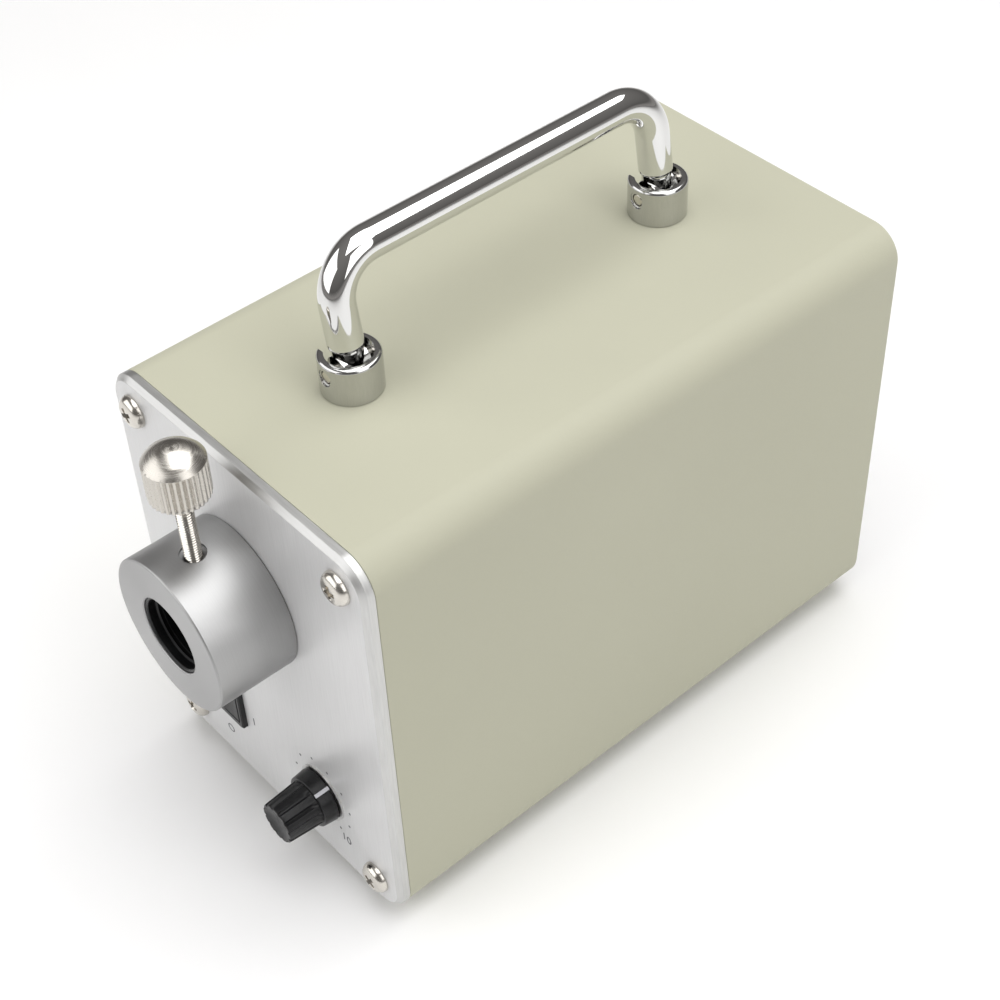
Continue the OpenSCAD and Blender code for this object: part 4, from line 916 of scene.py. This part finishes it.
class BuildPort(BuildStep):
    """Builds the light port's barrel and its black liner"""
    bl_idname = "illuminator.port"
    bl_label = "Light port"

    def build(self, settings):
        port = settings.port
        a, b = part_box("light_port")
        centre = middle("light_port")
        radius = (b.x - a.x) / 2
        panel = low("front_panel").y
        lip, rounding = 0.25 * MM, 0.1 * MM
        lens_bore, spigot = 6.5 * MM, 13 * MM
        lens_seat = low("case_sleeve").y - 1 * MM
        hole_end, sink, sink_floor, clear = 1.05 * MM, 3 * MM, 0.7 * MM, 2 * MM
        profile = [(lens_bore, b.y), (spigot, b.y), (spigot, panel), (radius - lip, panel),
                   (radius, panel - lip)]
        profile += [(radius, y) for y in evenly(panel, a.y + port.rim, 8)]
        profile += [(radius - port.rim, a.y), (port.mouth + lip, a.y), (port.mouth, a.y + lip),
                    (port.mouth, lens_seat), (lens_bore, lens_seat)]
        profile = softened(profile, rounding, 2)
        bm = bmesh.new()
        lathe(bm, profile + profile[:1], Vector((centre.x, 0, centre.z)), steps=192)
        tool = self.clamp_hole(port, centre, radius - hole_end,
                               [(sink, radius - sink_floor), (sink, radius + clear)])
        piece("port_barrel", bm, "case", ["light_port"], cutter=tool)
        self.build_liner(port, centre)

    def clamp_hole(self, port, centre, top, sink=()):
        """Cutter for the clamp screw's hole, from the bore up."""
        clamp = middle("thumb_screw_shank")
        foot = 5 * MM
        hole = [(port.clamp_hole, foot), (port.clamp_hole, top), *sink]
        tool = bmesh.new()
        lathe(tool, [(0, foot)] + hole + [(0, hole[-1][1])], Vector((clamp.x, clamp.y, centre.z)), "Z")
        return tool

    def build_liner(self, port, centre):
        a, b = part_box("port_liner")
        outer = (b.x - a.x) / 2
        bore, mouth, step = port.bore, port.liner_mouth, a.y + port.liner_step
        groove, groove_floor, groove_end = 0.35 * MM, 0.8 * MM, 0.9 * MM
        shoulder, slope, lip = 0.1 * MM, 0.4 * MM, 0.3 * MM
        clear, rounding = 1 * MM, 0.08 * MM
        profile = softened([
            (outer, b.y), (bore, b.y), (bore, step + groove_end), (bore + groove, step + groove_floor),
            (bore + groove, step), (bore, step - shoulder), (mouth, step - slope), (mouth, a.y + lip),
            (mouth + lip, a.y), (outer, a.y), (outer, b.y)], rounding, 2)
        bm = bmesh.new()
        lathe(bm, profile + profile[:1], Vector((centre.x, 0, centre.z)), steps=ROUND)
        piece("bore_liner", bm, "case", ["port_liner"], cutter=self.clamp_hole(port, centre, outer + clear))


class BuildClampScrew(BuildStep):
    """Builds the clamp screw: a fluted, domed head on a threaded shank"""
    bl_idname = "illuminator.clamp_screw"
    bl_label = "Clamp screw"

    def build(self, settings):
        port = settings.port
        a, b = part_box("thumb_screw_head")
        radius = (b.x - a.x) / 2
        head = middle("thumb_screw_head")
        centre = Vector((head.x, head.y, 0))
        dome, edge = 3.5 * MM, 0.6 * MM
        chamfer, crest = 0.3 * MM, 0.1 * MM
        run_out, shoulder, shoulder_rise = 0.05 * MM, 0.02 * MM, 0.06 * MM
        dome_steps, flute_width, flute_curve = 12, 0.62, 0.6
        top = b.z - dome
        ball = (radius ** 2 + dome ** 2) / (2 * dome)

        def fluted(r, reach, turn):
            if reach > top + run_out or r < radius - edge:
                return r
            return r - port.flute * fluting(turn, port.flutes, flute_width, flute_curve)

        profile = [(0, a.z), (radius - edge - chamfer, a.z), (radius - crest, a.z + edge)]
        profile += [(radius, z) for z in evenly(a.z + edge, top, 6)]
        profile += [(radius - shoulder, top + shoulder_rise)]
        for i in range(1, dome_steps + 1):
            turn = math.asin(radius / ball) * (1 - i / dome_steps)
            profile.append((ball * math.sin(turn), b.z - ball + ball * math.cos(turn)))
        bm = bmesh.new()
        lathe(bm, profile, centre, "Z", port.flutes * 10, fluted)
        piece("clamp_head", bm, "clamp_head", ["thumb_screw_head"], look="clamp_nickel")
        self.build_shank(port, centre)

    def build_shank(self, port, centre):
        a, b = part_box("thumb_screw_shank")
        radius = (b.x - a.x) / 2
        point, tip = 0.3 * MM, radius * 0.7
        per_turn = 8
        count = round((b.z - a.z) / port.pitch * per_turn)

        def threaded(r, reach, turn):
            if r < radius * 0.9:
                return r
            phase = (reach / port.pitch - turn / (2 * math.pi)) % 1
            return r - port.thread * abs(2 * phase - 1)

        start = a.z + point
        profile = [(0, a.z), (tip, a.z), (radius, start)]
        profile += [(radius, z) for z in evenly(start, b.z, count)]
        profile += [(0, b.z)]
        bm = bmesh.new()
        lathe(bm, profile, centre, "Z", 32, threaded)
        # the shank's finish has painted shade in the roots of its thread
        piece("clamp_shank", bm, "clamp_shank", ["thumb_screw_shank"], look="nickel_painted_thread_shade")


class BuildHandle(BuildStep):
    """Builds the chromed carry handle, its collars and its pins"""
    bl_idname = "illuminator.handle"
    bl_label = "Carry handle"

    def build(self, settings):
        sizes = settings.handle
        a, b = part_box("handle_collars")
        x = middle("handle_collars").x
        radius = (b.x - a.x) / 2
        legs = (a.y + radius, b.y - radius)
        self.build_rod(sizes, Vector((x, legs[0], a.z + sizes.pin_height)))
        for name, y in zip(("front", "rear"), legs):
            foot = Vector((x, y, a.z))
            pin = foot + Vector((0, 0, sizes.pin_height))
            self.build_collar(sizes, name, foot, pin, radius, b.z - a.z)
            self.build_pin(name, pin, radius)

    def build_rod(self, sizes, foot):
        rod, neck, top, bend, span = sizes.rod, sizes.neck, sizes.neck_length, sizes.bend, sizes.span
        step, swell, swell_rise, crown, crown_rise = 0.2 * MM, 0.15 * MM, 0.25 * MM, 0.1 * MM, 0.6 * MM
        eye_bore, rounding = 1.55 * MM, 0.3 * MM
        bend_start = sizes.reach - bend
        turns = 22
        leg = [(0, neck), (top - step, neck), (top, neck + swell), (top + swell_rise, rod - crown),
               (top + crown_rise, rod)]
        rise = [(0, z, r) for z, r in leg]
        for turn in (math.pi / 2 * i / turns for i in range(turns + 1)):
            rise.append((bend * (1 - math.cos(turn)), bend_start + bend * math.sin(turn), rod))
        grip = [(bend + (span - 2 * bend) * share, sizes.reach, rod) for share in (0.25, 0.5, 0.75)]
        fall = [(span - y, z, r) for y, z, r in reversed(rise)]
        line = rise + grip + fall
        bm = bmesh.new()
        tube(bm, [Vector((0, y, z)) for y, z, _ in line], [r for _, _, r in line])
        eye = softened([(eye_bore, -neck), (neck, -neck), (neck, neck), (eye_bore, neck)], rounding)
        for y in (0, span):
            lathe(bm, eye + eye[:1], Vector((0, y, 0)))
        lean = Matrix.Rotation(-sizes.lean, 3, "Y")
        for vert in bm.verts:
            vert.co = foot + lean @ vert.co
        piece("handle_rod", bm, "handle", ["carry_handle"])

    def build_collar(self, sizes, name, foot, pin, radius, tall):
        edge, foot_edge = sizes.collar_edge, 0.15 * MM
        screw_hole, seat, cup_floor = 2.2 * MM, 4 * MM, 2.2 * MM
        slot_floor, pin_hole, pin_sink, sunk = 1.8 * MM, 1.55 * MM, 2 * MM, 0.5 * MM
        clear, rounding = 1 * MM, 0.22 * MM
        past = radius + clear
        profile = [(screw_hole, 0), (radius - foot_edge, 0), (radius, foot_edge)]
        profile += [(radius, z) for z in evenly(foot_edge, tall - edge, 4)]
        profile += [(radius - edge * (1 - math.cos(turn)), tall - edge + edge * math.sin(turn))
                    for turn in evenly(0, math.pi / 2, 6)]
        profile += [(sizes.cup, tall), (sizes.cup, cup_floor), (seat, cup_floor), (screw_hole, 0)]
        bm, tool = bmesh.new(), bmesh.new()
        lathe(bm, profile, foot, "Z", ROUND)
        block(tool, foot + Vector((-past, -sizes.slot / 2, slot_floor)),
              foot + Vector((0, sizes.slot / 2, tall + clear)))
        through = [(0, -past), (pin_sink, -past), (pin_sink, sunk - radius), (pin_hole, sunk - radius),
                   (pin_hole, past), (0, past)]
        lathe(tool, through, pin)
        piece(name + "_collar", bm, "case", ["handle_collars"], cutter=tool, rounding=rounding)

    def build_pin(self, name, pin, radius):
        """The cross pin that the handle turns on, a little thinner at its ends."""
        thick, thin, sunk, rounding = 1.5 * MM, 1.45 * MM, 0.5 * MM, 0.5 * MM
        reach = radius - sunk
        profile = [(0, -reach), (thin, -reach), (thick, 0), (thin, reach), (0, reach)]
        bm = bmesh.new()
        lathe(bm, softened(profile, rounding), pin)
        piece(name + "_pin", bm, "case", ["handle_pins"], look="nickel_plate")


class BuildDial(BuildStep):
    """Builds the ribbed knob, turned so that its ribs match its pointer"""
    bl_idname = "illuminator.dial"
    bl_label = "Dial"

    def build(self, settings):
        sizes = settings.control
        a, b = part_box("dial_knob")
        centre = Vector((middle("dial_knob").x, 0, middle("dial_knob").z))
        radius = (b.x - a.x) / 2
        step = b.y - sizes.skirt
        pointer = middle("knob_pointer") - centre
        aim = math.atan2(pointer.z, pointer.x)
        run_out, root_step, rounding = 0.05 * MM, 0.02 * MM, 0.3 * MM
        crown, crown_side, crown_rise, crown_top = 0.35 * MM, 0.12 * MM, 0.08 * MM, 0.4 * MM
        shaft_hole, hollow, hollow_floor = 3.05 * MM, 6 * MM, b.y - 2 * MM
        skirt_gap, fade = 0.1 * MM, 0.6 * MM
        groove_width, groove_curve = 0.42, 0.7

        def ribbed(r, reach, turn):
            if reach > step - run_out or r < sizes.end * 0.9:
                return r
            ease = min(1, (step - reach) / fade)
            return r - sizes.groove * ease * fluting(turn - aim, sizes.ribs, groove_width, groove_curve)

        skirt = softened([
            (shaft_hole, hollow_floor), (hollow, hollow_floor), (hollow, b.y), (radius, b.y),
            (sizes.skirt_front, step), (sizes.root + skirt_gap, step)], rounding)
        body = [(sizes.root, step - root_step)]
        body += zip(evenly(sizes.root, sizes.end, 10), evenly(step, a.y + crown, 10))
        body += [(sizes.end - crown_side, a.y + crown_rise), (sizes.end - crown_top, a.y)]
        dish = [(sizes.end * share * 0.9, a.y + sizes.dish * (1 - share ** 2))
                for share in (0.98, 0.8, 0.6, 0.4, 0.2, 0)]
        bm = bmesh.new()
        lathe(bm, skirt + body + dish, centre, steps=sizes.ribs * 16, shape=ribbed)
        piece("knob", bm, "dial", ["dial_knob"])


class BuildSwitch(BuildStep):
    """Builds the rocker switch's bezel and its rocker"""
    bl_idname = "illuminator.switch"
    bl_label = "Rocker switch"

    def build(self, settings):
        a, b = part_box("rocker_housing")
        centre = middle("rocker_housing")
        panel = low("front_panel").y
        width, _, tall = b - a
        place = (centre.x, centre.z)
        rim, rim_corner, slope, slope_side, rounding = 1.2 * MM, 0.9 * MM, 0.3 * MM, 0.45 * MM, 0.2 * MM
        opening, corner, lip = 11.4 * MM, 0.5 * MM, 0.25 * MM
        body_width, body_height, cavity_depth = 12 * MM, 13 * MM, 6 * MM

        def bezel(inset):
            return rounded_box(width - 2 * inset, tall - 2 * inset, rim_corner - inset * 0.5, 6)

        well = inset_box(width - 2 * rim, opening, corner, 6)
        bm = bmesh.new()
        slab(bm, [(place, bezel, softened([(0, panel), (0, a.y + slope), (slope_side, a.y)], rounding)),
                  (place, well, softened([(0, panel), (0, a.y + lip), (-lip, a.y)], rounding))])
        for outline, end in ((rounded_box(body_width, body_height, corner, 4), b.y),
                             (rounded_box(opening, opening, corner, 4), a.y + cavity_depth)):
            loft(bm, [upright(outline, centre.x, y, centre.z) for y in (panel, end)])
        piece("switch_bezel", bm, "case", ["rocker_housing"])
        self.build_rocker()

    def build_rocker(self):
        joint = next(j for j in frame["joints"] if j["name"] == "rocker_rock")
        pivot = Vector(joint["pos_m"])
        rest = math.radians(10)
        half, valley, depth, tall, rounding = 5.19 * MM, 1.6 * MM, 3 * MM, 5.4 * MM, 0.28 * MM
        heel = half * 0.86
        tip = valley + half * math.tan(rest)
        section = [(0, -valley), (half, -tip), (heel, depth), (-heel, depth), (-half, -tip)]
        spin = Matrix.Rotation(rest, 3, "Z")
        bm = bmesh.new()
        loft(bm, [[pivot + spin @ Vector((x, y, z)) for x, y in section] for z in (-tall, tall)], caps=True)
        piece("switch_rocker", bm, "rocker", ["rocker_button"], rounding=rounding)


class PrintMarks(BuildStep):
    """Prints the dots and digits around the dial and the marks beside the switch"""
    bl_idname = "illuminator.marks"
    bl_label = "Printed marks"

    def build(self, settings):
        sizes = settings.control
        panel = low("front_panel").y
        film = 0.02 * MM
        dial, switch = middle("dial_knob"), middle("rocker_housing")
        bm = bmesh.new()
        for i in range(sizes.dots):
            turn = sizes.sweep * (2 * i / (sizes.dots - 1) - 1)
            spot = Vector((dial.x + sizes.ring * math.sin(turn), 0, dial.z + sizes.ring * math.cos(turn)))
            disc = [(0, panel - film), (sizes.dot, panel - film), (sizes.dot, panel + film)]
            lathe(bm, disc, spot, steps=20)
        piece("dial_dots", bm, "case", [], "black_plastic", "dark_ink")
        for name, text, near, right, up in (
                ("digit_low", "0", dial, -7.5, -11.1), ("digit_high", "10", dial, 7.1, -11.1),
                ("switch_on", "I", switch, 10.4, -2.4), ("switch_off", "O", switch, -1.8, -15.6)):
            place = Vector((near.x + right * MM, panel - film, near.z + up * MM))
            self.print_text(name, text, place, sizes.digit)

    def print_text(self, name, text, place, tall):
        size_share, thickness = 1.4, 0.015 * MM
        letter = bpy.data.curves.new(name, "FONT")
        letter.body = text
        letter.size = tall * size_share
        letter.align_x = letter.align_y = "CENTER"
        letter.extrude = thickness
        made = add_object(name, letter)
        made.location = place
        made.rotation_euler = (math.pi / 2, 0, 0)
        letter.materials.append(finish("dark_ink"))
        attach(made, "case")


STEPS = (BuildStage, ApplyFinishes, BuildSleeve, BuildFrontPanel, BuildPort, BuildClampScrew, BuildHandle,
         BuildDial, BuildSwitch, PrintMarks)


class IlluminatorPanel(bpy.types.Panel):
    """Lists the steps that build the illuminator"""
    bl_idname = "VIEW3D_PT_illuminator"
    bl_label = "Illuminator"
    bl_space_type = "VIEW_3D"
    bl_region_type = "UI"
    bl_category = "Illuminator"

    def draw(self, context):
        for step in STEPS:
            self.layout.operator(step.bl_idname)


CLASSES = (CaseSizes, PortSizes, HandleSizes, ControlSizes, Colours, Studio, Settings, *STEPS,
           IlluminatorPanel)


def register():
    for item in CLASSES:
        bpy.utils.register_class(item)
    bpy.types.Scene.illuminator = PointerProperty(type=Settings)


def unregister():
    del bpy.types.Scene.illuminator
    for item in reversed(CLASSES):
        bpy.utils.unregister_class(item)


def main():
    register()
    bpy.ops.illuminator.stage()
    bpy.ops.illuminator.finishes()
    bpy.ops.illuminator.sleeve()
    bpy.ops.illuminator.front_panel()
    bpy.ops.illuminator.port()
    bpy.ops.illuminator.clamp_screw()
    bpy.ops.illuminator.handle()
    bpy.ops.illuminator.dial()
    bpy.ops.illuminator.switch()
    bpy.ops.illuminator.marks()


if __name__ == "__main__":
    main()
